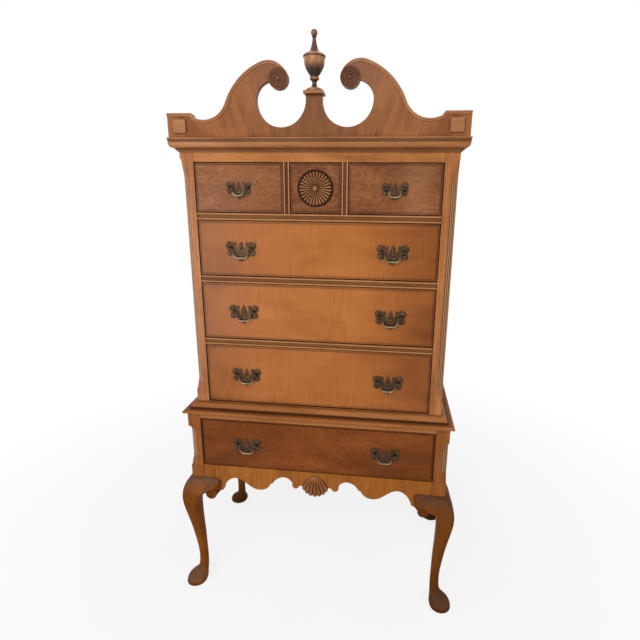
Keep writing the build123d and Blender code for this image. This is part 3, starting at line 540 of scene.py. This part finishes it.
burl_wood = wood(
    "burl_wood", "X", dark=(80, 42, 18), mid=(116, 67, 37), light=(156, 100, 60),
    tone=0.7, fibre=0.12, burl=0.55, rough=0.34, shine=0.12, toned=upper_lip, lit=(burl_glow,),
)
centre_burl = wood(
    "centre_burl", "X", dark=(70, 34, 16), mid=(108, 61, 34), light=(146, 90, 50),
    tone=0.6, fibre=0.12, burl=0.85, rough=0.34, shine=0.12, toned=upper_lip,
)
base_burl = wood(
    "base_burl", "X", dark=(78, 36, 10), mid=(114, 58, 18), light=(146, 82, 34),
    tone=0.9, fibre=0.12, burl=0.3, rough=0.34, shine=0.08, toned=base_lip,
)
apron_wood = wood(
    "apron_wood", "Z", dark=(102, 53, 14), mid=(144, 82, 25), light=(172, 108, 42),
    tone=0.5, grime=0.6, streak_scale=170.0, shine=0.1,
)
leg_wood = wood(
    "leg_wood", "Z", **leg_colours,
    tone=0.9, fibre=0.4, rough=0.4, shine=0.02, coat=0.0, dust=0.65,
    toned=(leg_right_shade, ankle_tone, foot_contact_shade),
)
volute_wood = wood(
    "volute_wood", "Z", **leg_colours,
    tone=0.9, fibre=0.4, rough=0.4, shine=0.02, coat=0.0, grime=0.4, groove=soft_groove,
    toned=(leg_right_shade,),
)
# A darker copy of the leg wood: painted shade on the rear legs
shaded_rear_leg_wood = wood(
    "shaded_rear_leg_wood", "Z", dark=(56, 27, 8), mid=(92, 50, 17), light=(122, 72, 30),
    tone=0.9, fibre=0.4, rough=0.45, shine=0.02, coat=0.0, toned=(rear_foot_shade,),
)
pediment_wood = wood(
    "pediment_wood", "fan", dark=(98, 55, 28), mid=(142, 87, 48), light=(170, 111, 66),
    fibre=0.35, stripe=0.1, grime=0.5, shine=0.1, toned=(pediment_middle,),
)
edge_wood = wood(
    "edge_wood", "X", dark=(112, 66, 38), mid=(154, 99, 60), light=(188, 132, 88),
    tone=0.5, fibre=0.3, grime=0.6,
)
block_wood = wood(
    "block_wood", "X", dark=(118, 72, 42), mid=(154, 102, 64), light=(178, 124, 82),
    tone=0.6, fibre=0.35, grime=0.5,
)
carved_wood = wood(
    "carved_wood", "X", dark=(92, 55, 31), mid=(138, 90, 55), light=(174, 122, 80),
    fibre=0.3, shine=0.06, groove=deep_groove,
)
rosette_wood = wood(
    "rosette_wood", "X", dark=(86, 50, 30), mid=(122, 78, 50), light=(164, 114, 77),
    fibre=0.3, grime=0.5, groove=soft_groove,
)
shell_wood = wood(
    "shell_wood", "Z", dark=(90, 48, 19), mid=(128, 74, 34), light=(160, 101, 53),
    fibre=0.4, groove=deep_groove,
)
finial_wood = wood(
    "finial_wood", "Z", dark=(110, 68, 42), mid=(172, 116, 74), light=(212, 160, 112),
    fibre=0.4, rough=0.2, shine=0.25, coat=0.12, groove=deep_groove,
)
inner_wood = wood(
    "inner_wood", "X", **inner_colours,
    tone=0.8, fibre=0.7, rough=0.7, grime=0.5,
)
box_wood = wood(
    "box_wood", "level", **inner_colours,
    tone=0.8, fibre=0.7, rough=0.7, grime=0.5,
)
base_back_wood = wood(
    "base_back_wood", "X", dark=(132, 84, 48), mid=(170, 120, 76), light=(196, 150, 104),
    tone=0.9, fibre=0.7, rough=0.7, grime=0.5, streak_scale=85.0,
)

# Brass: patina in blotches and specks, darker in hollows, brighter on edges, and on the bails rubbed bright
# where fingers hold them, with a painted highlight there and the rest a little darker
patina_noise = (160.0, 5.0, 0.8)
patina_strength = 1.1
patina_roughness = -0.3
speck_noise = (900.0, 2.0)
speck_depth = 0.4
brass_edge = 0.001
brass_edge_span = (0.98, 0.8)
brass_edge_strength = 0.4
brass_shelter = 0.006
brass_shelter_samples = 6
brass_open_span = (0.2, 1.3)
brass_tone_places = (0.2, 0.6, 1.0)
brass_bump = 0.0006
brass_bump_strength = 0.5
brass_metallic = 0.8
grip_highlight_strength = 0.42
grip_highlight_around = 0.2
plate_rough = 0.45
bail_rough = 0.34
bail_grip_highlight = (0.75, 0.12)  # where a bail starts to be bright and is brightest, as shares of its height


def brass(name, roughness, dark, mid, light, grip_highlight=None):
    """Antique brass in three colours; a grip highlight is two heights, and the brass is rubbed bright and
    painted with a highlight at the second.
    """
    material, tree, output = new_material(name)
    place = object_place(tree)
    patina = noise(tree, place, *patina_noise)
    specks = noise(tree, place, *speck_noise)
    soft_edge, _, facing = edges(tree, brass_edge)
    shelter = openness(tree, brass_shelter, brass_shelter_samples)
    open_share = span_share(tree, shelter, *brass_open_span)
    level = calc(tree, "ADD", product(tree, patina, patina_strength), open_share)
    rubbed = product(tree, span_share(tree, facing, *brass_edge_span), brass_edge_strength)
    level = calc(tree, "ADD", level, rubbed)
    if grip_highlight:
        grip_highlight_share = product(tree, past(tree, "Z", *grip_highlight), grip_highlight_strength)
        level = calc(tree, "ADD", level, calc(tree, "SUBTRACT", grip_highlight_share, grip_highlight_around))
    tones = (srgb(*colour) for colour in (dark, mid, light))
    pitted = calc(tree, "ADD", patina, product(tree, specks, speck_depth))
    shader = node(tree, "ShaderNodeBsdfPrincipled", {
        "Base Color": ramp(tree, level, tuple(zip(brass_tone_places, tones))),
        "Metallic": brass_metallic,
        "Roughness": calc(tree, "ADD", product(tree, patina, patina_roughness), roughness),
        "Normal": bumped(tree, pitted, brass_bump, brass_bump_strength, soft_edge),
    })
    tree.links.new(shader.outputs[0], output.inputs[0])
    return material


def bail_brass(name):
    """A bail's own brass, rubbed bright along its lower bar where fingers hold it, with a painted highlight
    there.
    """
    low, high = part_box(name)
    grip_highlight = tuple(low.z + share * (high.z - low.z) for share in bail_grip_highlight)
    return brass(
        f"{name}_brass", bail_rough, dark=(34, 26, 18), mid=(78, 66, 49), light=(152, 134, 103), grip_highlight=grip_highlight,
    )


plate_brass = brass("plate_brass", plate_rough, dark=(26, 17, 11), mid=(57, 38, 23), light=(104, 78, 52))


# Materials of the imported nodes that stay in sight
def dress(name, material):
    """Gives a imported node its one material."""
    slots = nodes[name].data.materials
    slots.clear()
    slots.append(material)


node_materials = {
    case_wood: ("upper_sides", "base_sides"),
    post_wood: ("corner_post_left", "corner_post_right"),
    base_post_wood: ("base_posts",),
    rail_wood: ("front_rails",),
    moulding_wood: ("waist_moulding",),
    cornice_wood: ("cornice_moulding",),
    divider_wood: ("drawer_dividers",),
    drawer_wood: ("second_drawer_front", "third_drawer_front", "fourth_drawer_front"),
    burl_wood: ("top_left_drawer_front", "top_right_drawer_front"),
    centre_burl: ("top_centre_drawer_front",),
    base_burl: ("base_drawer_front",),
    apron_wood: ("front_apron",),
    pediment_wood: ("pediment_board",),
    edge_wood: ("pediment_edge_moulding", "finial_plinth_cap"),
    block_wood: ("pediment_square_blocks",),
    base_back_wood: ("base_back_panel",),
    inner_wood: (
        "upper_back_panel",
        "upper_top_board",
        "upper_bottom_board",
        "drawer_runners",
        "base_top_board",
        "pediment_braces",
    ),
}
for material, names in node_materials.items():
    for name in names:
        dress(name, material)
for name in nodes:
    if name.endswith("_drawer_box"):
        dress(name, box_wood)
    elif name.endswith("_pull_plates"):
        dress(name, plate_brass)
    elif name.endswith("_bail"):
        dress(name, bail_brass(name))


# Meshes for the carved and turned pieces. A point's ridge is 0 in a hollow and 1 on a crest, for the
# material, which paints the hollows darker as painted shade
def add_piece(name, points, faces, ridges, material, body, slot, *replaced):
    """A mesh piece that rides on a body, smooth but for its many-sided caps."""
    mesh = bpy.data.meshes.new(name)
    mesh.from_pydata(points, [], faces)
    mesh.update()
    mesh.polygons.foreach_set("use_smooth", [len(face) <= 4 for face in faces])
    mesh.attributes.new("ridge", "FLOAT", "POINT").data.foreach_set("value", ridges)
    mesh.materials.append(material)
    piece = bpy.data.objects.new(name, mesh)
    link(piece)
    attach(piece, body)
    if replaced:
        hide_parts(*replaced)
    return piece


def relief(name, rows, base_y, wrap, *where):
    """A carved relief on a wall facing -Y, from rows of x, z, height and ridge, with a flat back.

    Rows that wrap are rings about a centre, and the innermost ring is capped."""
    across = len(rows[0])
    front = [(x, base_y - height, z) for row in rows for x, z, height, _ in row]
    back = [(x, base_y, z) for row in rows for x, z, _, _ in row]
    ridges = [ridge for row in rows for *_, ridge in row] * 2
    shift = len(front)
    faces = []
    for i in range(len(rows) - 1):
        for j in range(across if wrap else across - 1):
            a, b = i * across + j, i * across + (j + 1) % across
            c, d = b + across, a + across
            faces.append((a, b, c, d))
            faces.append((shift + d, shift + c, shift + b, shift + a))
    edge = [(len(rows) - 1) * across + j for j in range(across)]
    if wrap:
        faces.append(tuple(reversed(range(across))))
        faces.append(tuple(range(shift, shift + across)))
    else:
        edge = [i * across + across - 1 for i in range(len(rows))] + edge[-2::-1]
        edge += [i * across for i in range(len(rows) - 2, -1, -1)] + list(range(1, across - 1))
    for first, second in zip(edge, edge[1:] + edge[:1]):
        faces.append((first, shift + first, shift + second, second))
    return add_piece(name, front + back, faces, ridges, *where)


def turned(name, outline, spokes, place, *where):
    """A turned piece from an outline of radius, height and ridge, put into points by place."""
    points = []
    ridges = []
    for radius, height, ridge in outline:
        for k in range(spokes):
            points.append(place(radius, height, 2 * math.pi * k / spokes))
            ridges.append(ridge)
    faces = []
    for i in range(len(outline) - 1):
        for k in range(spokes):
            a, b = i * spokes + k, i * spokes + (k + 1) % spokes
            faces.append((a, b, b + spokes, a + spokes))
    faces.append(tuple(reversed(range(spokes))))
    faces.append(tuple(range(len(points) - spokes, len(points))))
    add_piece(name, points, faces, ridges, *where)


def smooth(points, steps):
    """A curve through points of any size, by Catmull and Rom's rule."""
    padded = [points[0]] + list(points) + [points[-1]]
    curve = []
    for before, start, end, after in zip(padded, padded[1:], padded[2:], padded[3:]):
        for k in range(steps):
            t = k / steps
            curve.append(tuple(
                0.5 * (
                    2 * s
                    + (e - b) * t
                    + (2 * b - 5 * s + 4 * e - a) * t**2
                    + (3 * s - b - 3 * e + a) * t**3
                )
                for b, s, e, a in zip(before, start, end, after)
            ))
    return curve + [tuple(points[-1])]


def hump(value, low, high):
    """A round bump from low to high, 1 at its middle and 0 outside."""
    share = (value - low) / (high - low)
    return math.sqrt(max(0.0, 1 - (2 * share - 1) ** 2)) if 0 < share < 1 else 0.0


def step(value, low, high):
    """A smooth rise from 0 at low to 1 at high."""
    share = min(1.0, max(0.0, (value - low) / (high - low)))
    return share * share * (3 - 2 * share)


def across_lobe(place, count):
    """How far a point lies from the crest of its ray or lobe, from 0 to 1, and its height on the round."""
    across = abs((place % count) / count - 0.5) * 2
    return across, math.sqrt(max(0.0, 1 - across**2))


# Sunburst: places are shares of its radius
ray_count = 28
spokes_per_ray = 8
sunburst_rings = 48
sunburst_centre = 0.001
sunburst_ground = 0.0006
ray_start = (0.3, 0.38)
ray_end = (0.84, 0.88)
ray_end_at_crest = (0.04, 0.02)  # how much further out a ray ends along its crest
ray_height = 0.0045
ray_foot = 0.15  # a ray's height at its sides, as a share of that at its crest
ray_ridge = (0.28, 0.68)
dish_edge = (0.3, 0.37)
dish_height = 0.0012
dish_rise = 0.001
dish_rise_place = 0.4
dish_ridge = 0.4
dish_ring = (0.15, 0.26)
dish_ring_depth = 0.14
lip_span = (0.955, 1.03)
lip_height = 0.0016
lip_ridge = 0.12
knob_edge = 0.15
knob_foot = 0.3
knob_foot_ridge = 0.35


def add_sunburst():
    """A sunk ring, rounded rays that narrow to a dished hub, and a knob at the middle."""
    low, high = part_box("sunburst_carving")
    radius = (high.x - low.x) / 2
    reach = high.y - low.y
    middle = (low + high) / 2
    rows = []
    for i in range(sunburst_rings + 1):
        share = max(i / sunburst_rings, sunburst_centre)
        row = []
        for j in range(ray_count * spokes_per_ray):
            angle = 2 * math.pi * j / (ray_count * spokes_per_ray)
            across, rounded = across_lobe(j, spokes_per_ray)
            end = (place + more * rounded for place, more in zip(ray_end, ray_end_at_crest))
            in_rays = step(share, *ray_start) * (1 - step(share, *end))
            height = sunburst_ground + ray_height * in_rays * (ray_foot + (1 - ray_foot) * rounded)
            ridge = in_rays * step(1 - across, *ray_ridge)
            dish = 1 - step(share, *dish_edge)
            height += dish * (dish_height + dish_rise * (share / dish_rise_place) ** 2)
            ridge += dish * (dish_ridge - dish_ring_depth * hump(share, *dish_ring))
            lip = hump(share, *lip_span)
            height += lip_height * lip
            ridge += lip_ridge * lip
            if share < knob_edge:
                knob = math.sqrt(1 - (share / knob_edge) ** 2)
                height = max(height, reach * (knob_foot + (1 - knob_foot) * knob))
                ridge = knob_foot_ridge + (1 - knob_foot_ridge) * knob
            out = radius * share
            row.append((middle.x + out * math.cos(angle), middle.z + out * math.sin(angle), height, ridge))
        rows.append(row[::-1])
    where = (carved_wood, "top_centre_drawer", "sunburst_wood", "sunburst_carving")
    relief("sunburst", rows, high.y, True, *where)


# Shell: shares of its length from the point that its lobes spread from, and of the way from root to edge
shell_lobes = 7
points_per_lobe = 10
shell_rows = 28
shell_half_spread = math.radians(33)
shell_root_share = 0.31
shell_shoulder = 0.3
shell_scallop = 0.04
shell_side_short = 0.16
shell_side_low = 0.55
shell_rim = 0.25
shell_dome = (-0.35, 1.15)
shell_rise = (-0.12, 0.3)
shell_lobe_start = (0.05, 0.3)
shell_lobe_depth = 0.5
shell_root_ridge = 0.7
shell_ridge_power = 1.4


def add_shell():
    """A scallop: rounded lobes spreading from a narrow root to a scalloped edge, domed and turned under."""
    low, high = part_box("shell_carving")
    relief_height = high.y - low.y
    root_drop = shell_root_share * math.cos(shell_half_spread)
    length = (high.z - low.z) / (1 - root_drop)
    eye_z = low.z + length
    rows = []
    for i in range(shell_rows + 1):
        way = i / shell_rows
        row = []
        for j in range(shell_lobes * points_per_lobe + 1):
            swing = 2 * j / (shell_lobes * points_per_lobe) - 1
            angle = swing * shell_half_spread
            _, rounded = across_lobe(j, points_per_lobe)
            edge = (1 - shell_scallop + shell_scallop * rounded) * (1 - shell_side_short * swing**2)
            root = shell_root_share * (math.cos(shell_half_spread) / math.cos(angle))
            root *= 1 + shell_shoulder * swing**2
            out = length * (root + (edge - root) * way)
            dome = (1 - shell_side_low * swing**2) * (shell_rim + (1 - shell_rim) * hump(way, *shell_dome))
            dome *= step(way, *shell_rise)
            carving = step(way, *shell_lobe_start)
            height = relief_height * dome * (1 - carving * shell_lobe_depth * (1 - rounded))
            ridge = shell_root_ridge * (1 - carving) + carving * rounded**shell_ridge_power
            row.append((out * math.sin(angle), eye_z - out * math.cos(angle), height, ridge))
        rows.append(row[::-1])
    relief("shell", rows, high.y, False, shell_wood, "carcass", "apron_maple", "shell_carving")


# Finial: radius, height and ridge along its outline, as shares of its own radius and height
finial_outline = (
    (0.74, 0, 0.9), (0.74, 0.036, 0.9), (0.5, 0.062, 0.5), (0.27, 0.092, 0.2), (0.2, 0.14, 0.2),
    (0.25, 0.175, 0.15), (0.4, 0.2, 0.6), (0.42, 0.224, 0.6), (0.36, 0.248, 0.1), (0.5, 0.288, 0.12),
    (0.65, 0.337, 0.15), (0.78, 0.388, 0.3), (0.86, 0.435, 0.5), (0.9, 0.49, 0.72), (0.92, 0.545, 0.65),
    (0.97, 0.55, 0.2), (0.99, 0.564, 0.3), (0.97, 0.58, 1.0), (0.82, 0.606, 1.0), (0.62, 0.622, 0.6),
    (0.46, 0.643, 0.3), (0.32, 0.69, 0.28), (0.2, 0.78, 0.3), (0.14, 0.86, 0.2), (0.2, 0.867, 0.1),
    (0.2, 0.88, 0.15), (0.15, 0.888, 0.3), (0.25, 0.91, 0.45), (0.285, 0.94, 0.5), (0.24, 0.972, 0.5),
    (0.14, 0.99, 0.5), (0.005, 1, 0.5),
)
finial_steps = 6
finial_spokes = 128
finial_flutes = 16
finial_flute_start = (0.25, 0.28)
finial_flute_tip = 0.43
finial_tip_drop = 0.05
finial_tip_fade = 0.04
finial_flute_depth = 0.07
finial_flute_power = 0.6


def add_finial():
    """The urn: its cup is fluted below, and its flutes end in points about half way up."""
    low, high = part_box("urn_finial")
    radius = (high.x - low.x) / 2
    height = high.z - low.z
    middle = (low + high) / 2

    def place(share, level, angle):
        turn = angle * finial_flutes / 2
        tip = finial_flute_tip - finial_tip_drop * abs(math.sin(turn))
        fade = 1 - step(level, tip - finial_tip_fade, tip + finial_tip_fade)
        depth = finial_flute_depth * step(level, *finial_flute_start) * fade
        out = radius * share * (1 - depth * abs(math.cos(turn)) ** finial_flute_power)
        return (middle.x + out * math.cos(angle), middle.y + out * math.sin(angle), low.z + height * level)

    outline = smooth(finial_outline, finial_steps)
    turned("finial", outline, finial_spokes, place, finial_wood, "carcass", "pediment_wood", "urn_finial")


# Rosettes: radius, height and ridge from the rim to the middle, as shares of their own radius and depth
rosette_outline = (
    (1.0, 0.0, 0.3), (0.995, 0.45, 0.5), (0.95, 0.6, 0.85), (0.9, 0.6, 0.75), (0.86, 0.42, 0.1),
    (0.82, 0.42, 0.1), (0.77, 0.58, 0.8), (0.71, 0.58, 0.7), (0.67, 0.4, 0.1), (0.63, 0.4, 0.1),
    (0.58, 0.55, 0.75), (0.52, 0.53, 0.65), (0.48, 0.36, 0.1), (0.43, 0.36, 0.1), (0.38, 0.52, 0.75),
    (0.31, 0.5, 0.6), (0.27, 0.34, 0.1), (0.22, 0.5, 0.6), (0.15, 0.85, 1.0), (0.08, 0.97, 1.0),
    (0.005, 1.0, 1.0),
)
rosette_steps = 4
rosette_spokes = 72


def add_rosettes():
    """The two ringed rosettes at the ends of the scrolls; the right one stands for the node of both."""
    low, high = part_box("pediment_rosettes")
    radius = (high.z - low.z) / 2
    reach = high.y - low.y
    centre_z = (low.z + high.z) / 2
    outline = smooth(rosette_outline, rosette_steps)
    for side, word, replaced in ((-1, "left", ()), (1, "right", ("pediment_rosettes",))):
        centre_x = side * (high.x - radius)

        def place(share, level, angle):
            x, z = radius * share * math.cos(angle), radius * share * math.sin(angle)
            return (centre_x + x, high.y - reach * level, centre_z + z)

        where = (rosette_wood, "carcass", "pediment_wood", *replaced)
        turned(f"rosette_{word}", outline, rosette_spokes, place, *where)


# Raised lobes on the pulls' plates: across, up, half width and half height as shares of half a plate's width,
# and rise in metres. Those off the middle are on both sides
plate_half = 0.053
small_pull = 0.81
plate_front_from_pin = 0.0102
plate_lobes = (
    (0.79, 0.23, 0.16, 0.17, 0.0022),
    (0.41, 0.29, 0.085, 0.085, 0.0014),
    (0.75, -0.28, 0.15, 0.14, 0.0018),
    (0.55, 0.14, 0.07, 0.06, 0.001),
    (0.5, -0.3, 0.07, 0.09, 0.001),
    (0.0, 0.16, 0.1, 0.26, 0.0018),
    (0.0, -0.2, 0.2, 0.09, 0.0012),
    (0.19, -0.42, 0.13, 0.07, 0.0012),
    (0.0, -0.62, 0.12, 0.12, 0.0012),
)
lobe_spokes = 20
lobe_rings = 5


def add_dome(points, faces, centre, wide, tall, rise):
    """Adds a low dome facing -Y, with a flat back, to lists of points and faces."""
    start = len(points)
    for i in range(lobe_rings):
        turn = math.pi / 2 * i / lobe_rings
        away = math.cos(turn)
        front = centre.y - rise * math.sin(turn)
        for k in range(lobe_spokes):
            angle = 2 * math.pi * k / lobe_spokes
            x, z = wide * away * math.cos(angle), tall * away * math.sin(angle)
            points.append((centre.x + x, front, centre.z + z))
    points.append((centre.x, centre.y - rise, centre.z))
    for i in range(lobe_rings - 1):
        for k in range(lobe_spokes):
            a, b = start + i * lobe_spokes + k, start + i * lobe_spokes + (k + 1) % lobe_spokes
            faces.append((a, b, b + lobe_spokes, a + lobe_spokes))
    faces.append(tuple(reversed(range(start, start + lobe_spokes))))
    last = start + (lobe_rings - 1) * lobe_spokes
    for k in range(lobe_spokes):
        faces.append((last + k, last + (k + 1) % lobe_spokes, len(points) - 1))


def add_plate_lobes(drawer, pins, share):
    """The raised lobes of one drawer's plates, which lie about the bails' pins."""
    points = []
    faces = []
    half = plate_half * share
    for pin in pins:
        front = pin[1] + plate_front_from_pin
        for x, z, wide, tall, rise in plate_lobes:
            for side in (-1, 1) if x else (1,):
                centre = Vector((pin[0] + side * half * x, front, pin[2] + half * z))
                add_dome(points, faces, centre, half * wide, half * tall, rise)
    ridges = [1.0] * len(points)
    add_piece(f"{drawer}_plate_lobes", points, faces, ridges, plate_brass, f"{drawer}_drawer", "brass")


# Legs that flow into their knee blocks
leg_voxel = 0.002
leg_smoothing = 12
leg_smooth_factor = 0.5
legs = (
    ("front_left", -1, -1, leg_wood, ("leg_front_left", "knee_blocks")),
    ("front_right", 1, -1, leg_wood, ("leg_front_right",)),
    ("rear_left", -1, 1, shaded_rear_leg_wood, ("leg_rear_left",)),
    ("rear_right", 1, 1, shaded_rear_leg_wood, ("leg_rear_right",)),
)


def joined_mesh(sources, side_x, side_y):
    """One mesh from the parts of several objects that lie at one corner of the base."""
    joined = bmesh.new()
    for source in sources:
        joined.from_mesh(source.data)
    far = [v for v in joined.verts if v.co.x * side_x < 0 or v.co.y * side_y < 0]
    bmesh.ops.delete(joined, geom=far, context="VERTS")
    mesh = bpy.data.meshes.new("corner")
    joined.to_mesh(mesh)
    joined.free()
    return mesh


def add_flowing_leg(corner, side_x, side_y, material, replaced):
    """A leg and its knee blocks as one swelling form: joined, remeshed and smoothed."""
    mesh = joined_mesh((nodes[f"leg_{corner}"], nodes["knee_blocks"]), side_x, side_y)
    rough = bpy.data.objects.new("corner", mesh)
    link(rough)
    remesh = rough.modifiers.new("remesh", "REMESH")
    remesh.mode = "VOXEL"
    remesh.voxel_size = leg_voxel
    soften = rough.modifiers.new("soften", "SMOOTH")
    soften.factor = leg_smooth_factor
    soften.iterations = leg_smoothing
    made = bpy.data.meshes.new_from_object(rough.evaluated_get(bpy.context.evaluated_depsgraph_get()))
    points = [tuple(v.co) for v in made.vertices]
    faces = [tuple(f.vertices) for f in made.polygons]
    bpy.data.objects.remove(rough)
    ridges = [1.0] * len(points)
    add_piece(f"cabriole_{corner}", points, faces, ridges, material, "carcass", "leg_wood", *replaced)


# Scrolls on the knee blocks: shares of their reach, and where they sit on the base's front and sides
volute_reach = 0.0175
volute_turns = 1.9
volute_rings = 30
volute_spokes = 72
volute_centre = 0.01
volute_sink = 0.004
volute_rise = 0.0016
volute_crest_power = 0.6
volute_crest_ridge = (0.3, 0.8)
volute_eye = (-0.24, 0.24)
volute_eye_rise = 1.3
volute_edge = (0.75, 1.0)
volute_edge_drop = 0.0025
volute_height = 0.414
front_volute = (0.4028, -0.2646)
side_volute = (0.4996, 0.1678)


def add_volute(name, place, facing, hand):
    """A scroll on a knee block's face: a ridge that winds in to a round eye, turned as the face is."""
    rows = []
    for i in range(volute_rings + 1):
        share = max(i / volute_rings, volute_centre)
        out = volute_reach * share
        eye = hump(share, *volute_eye)
        row = []
        for j in range(volute_spokes):
            angle = 2 * math.pi * j / volute_spokes
            wound = (share * volute_turns - hand * angle / (2 * math.pi)) % 1.0
            crest = math.sin(math.pi * wound)
            height = volute_sink + volute_rise * max(crest**volute_crest_power, volute_eye_rise * eye)
            height -= volute_edge_drop * step(share, *volute_edge)
            ridge = max(step(crest, *volute_crest_ridge), eye)
            row.append((out * math.cos(angle), out * math.sin(angle), height, ridge))
        rows.append(row[::-1])
    scroll = relief(name, rows, volute_sink, True, volute_wood, "carcass", "leg_wood")
    scroll.data.transform(Matrix.Translation(place) @ Matrix.Rotation(facing, 4, "Z"))


def add_volutes():
    """The scrolls on the front's two ears and the sides' four."""
    for word, side in (("left", -1), ("right", 1)):
        spot = Vector((side * front_volute[0], front_volute[1], volute_height))
        add_volute(f"volute_front_{word}", spot, 0.0, -side)
        for end, way in (("front", -1), ("rear", 1)):
            spot = Vector((side * side_volute[0], way * side_volute[1], volute_height))
            add_volute(f"volute_{word}_{end}", spot, side * math.pi / 2, side * way)


add_sunburst()
add_shell()
add_volutes()
for leg in legs:
    add_flowing_leg(*leg)
add_finial()
add_rosettes()
pins_of = {}
for joint in record["behaviour"]["joints"]:
    if joint["type"] == "hinge":
        pins_of.setdefault(joint["parent"].removesuffix("_drawer"), []).append(joint["pos_m"])
for drawer, pins in pins_of.items():
    add_plate_lobes(drawer, pins, small_pull if drawer.startswith("top") else 1.0)


# Floor, world and lamps
floor_reach = 12
floor_noise = 3.0
floor_stops = ((0.3, srgb(238, 238, 238)), (0.7, srgb(244, 244, 244)))
floor_white = 0.8  # the share of plain white that the camera sees near the chest
floor_white_more = 0.2  # and what is added to it away from the chest
floor_white_span = (0.7, 2.2)
ambient = 0.42
warm_white = (1.0, 0.97, 0.93)
cool_white = (0.88, 0.94, 1.0)
lamps = (
    # name, place, target, size, watts and colour
    ("key", (-0.3, -2.7, 2.9), (0, 0, 0.9), (1.6, 1.2), 44, warm_white),
    ("window", (-1.55, -2.45, 0.95), (-0.2, 0, 1.1), (0.9, 1.6), 24, cool_white),
    ("fill", (2.4, -1.5, 1.5), (0.3, -0.1, 1.1), (0.8, 1.4), 9, warm_white),
)


def seen_share(tree):
    """1 for the rays that show the background itself, to the camera, in gloss or through glass."""
    rays = node(tree, "ShaderNodeLightPath", {}).outputs
    mirrored = calc(tree, "ADD", rays["Is Glossy Ray"], rays["Is Transmission Ray"])
    return calc(tree, "MINIMUM", calc(tree, "ADD", rays["Is Camera Ray"], mirrored), 1.0)


def pale_floor():
    """A near-white floor that keeps a soft shadow, and looks white to the camera where none falls."""
    mesh = bpy.data.meshes.new("floor")
    corners = [(x * floor_reach, y * floor_reach, 0) for x, y in ((-1, -1), (1, -1), (1, 1), (-1, 1))]
    mesh.from_pydata(corners, [], [(0, 1, 2, 3)])
    floor = bpy.data.objects.new("floor", mesh)
    link(floor)
    material, tree, output = new_material("floor_paint")
    place = object_place(tree)
    paint = ramp(tree, calc(tree, "ADD", noise(tree, place, floor_noise), 0.5), floor_stops)
    matt = node(tree, "ShaderNodeBsdfDiffuse", {"Color": paint}).outputs[0]
    glow = node(tree, "ShaderNodeEmission", {"Strength": 1.0}).outputs[0]
    away = node(tree, "ShaderNodeVectorMath", {0: place}, operation="LENGTH").outputs["Value"]
    more = product(tree, span_share(tree, away, *floor_white_span), floor_white_more)
    share = product(tree, seen_share(tree), calc(tree, "ADD", floor_white, more))
    mixed = node(tree, "ShaderNodeMixShader", {0: share, 1: matt, 2: glow}).outputs[0]
    tree.links.new(mixed, output.inputs[0])
    mesh.materials.append(material)


def white_world():
    """White to the camera and in reflections, and a plain soft light on the object."""
    world = bpy.data.worlds.new("studio")
    world.use_nodes = True
    tree = world.node_tree
    tree.nodes.clear()
    strength = calc(tree, "MAXIMUM", seen_share(tree), ambient)
    sky = node(tree, "ShaderNodeBackground", {"Color": (1, 1, 1, 1), "Strength": strength}).outputs[0]
    tree.links.new(sky, node(tree, "ShaderNodeOutputWorld", {}).inputs[0])
    bpy.context.scene.world = world


def area_lamp(name, place, target, size, watts, colour):
    """A soft box at a place, turned towards a target."""
    data = bpy.data.lights.new(name, "AREA")
    data.shape = "RECTANGLE"
    data.size, data.size_y = size
    data.energy = watts
    data.color = colour
    lamp = bpy.data.objects.new(name, data)
    lamp.location = place
    lamp.rotation_euler = (Vector(target) - Vector(place)).to_track_quat("-Z", "Y").to_euler()
    link(lamp)


add_camera()
pale_floor()
white_world()
for lamp in lamps:
    area_lamp(*lamp)

bpy.context.scene.view_settings.view_transform = "Standard"
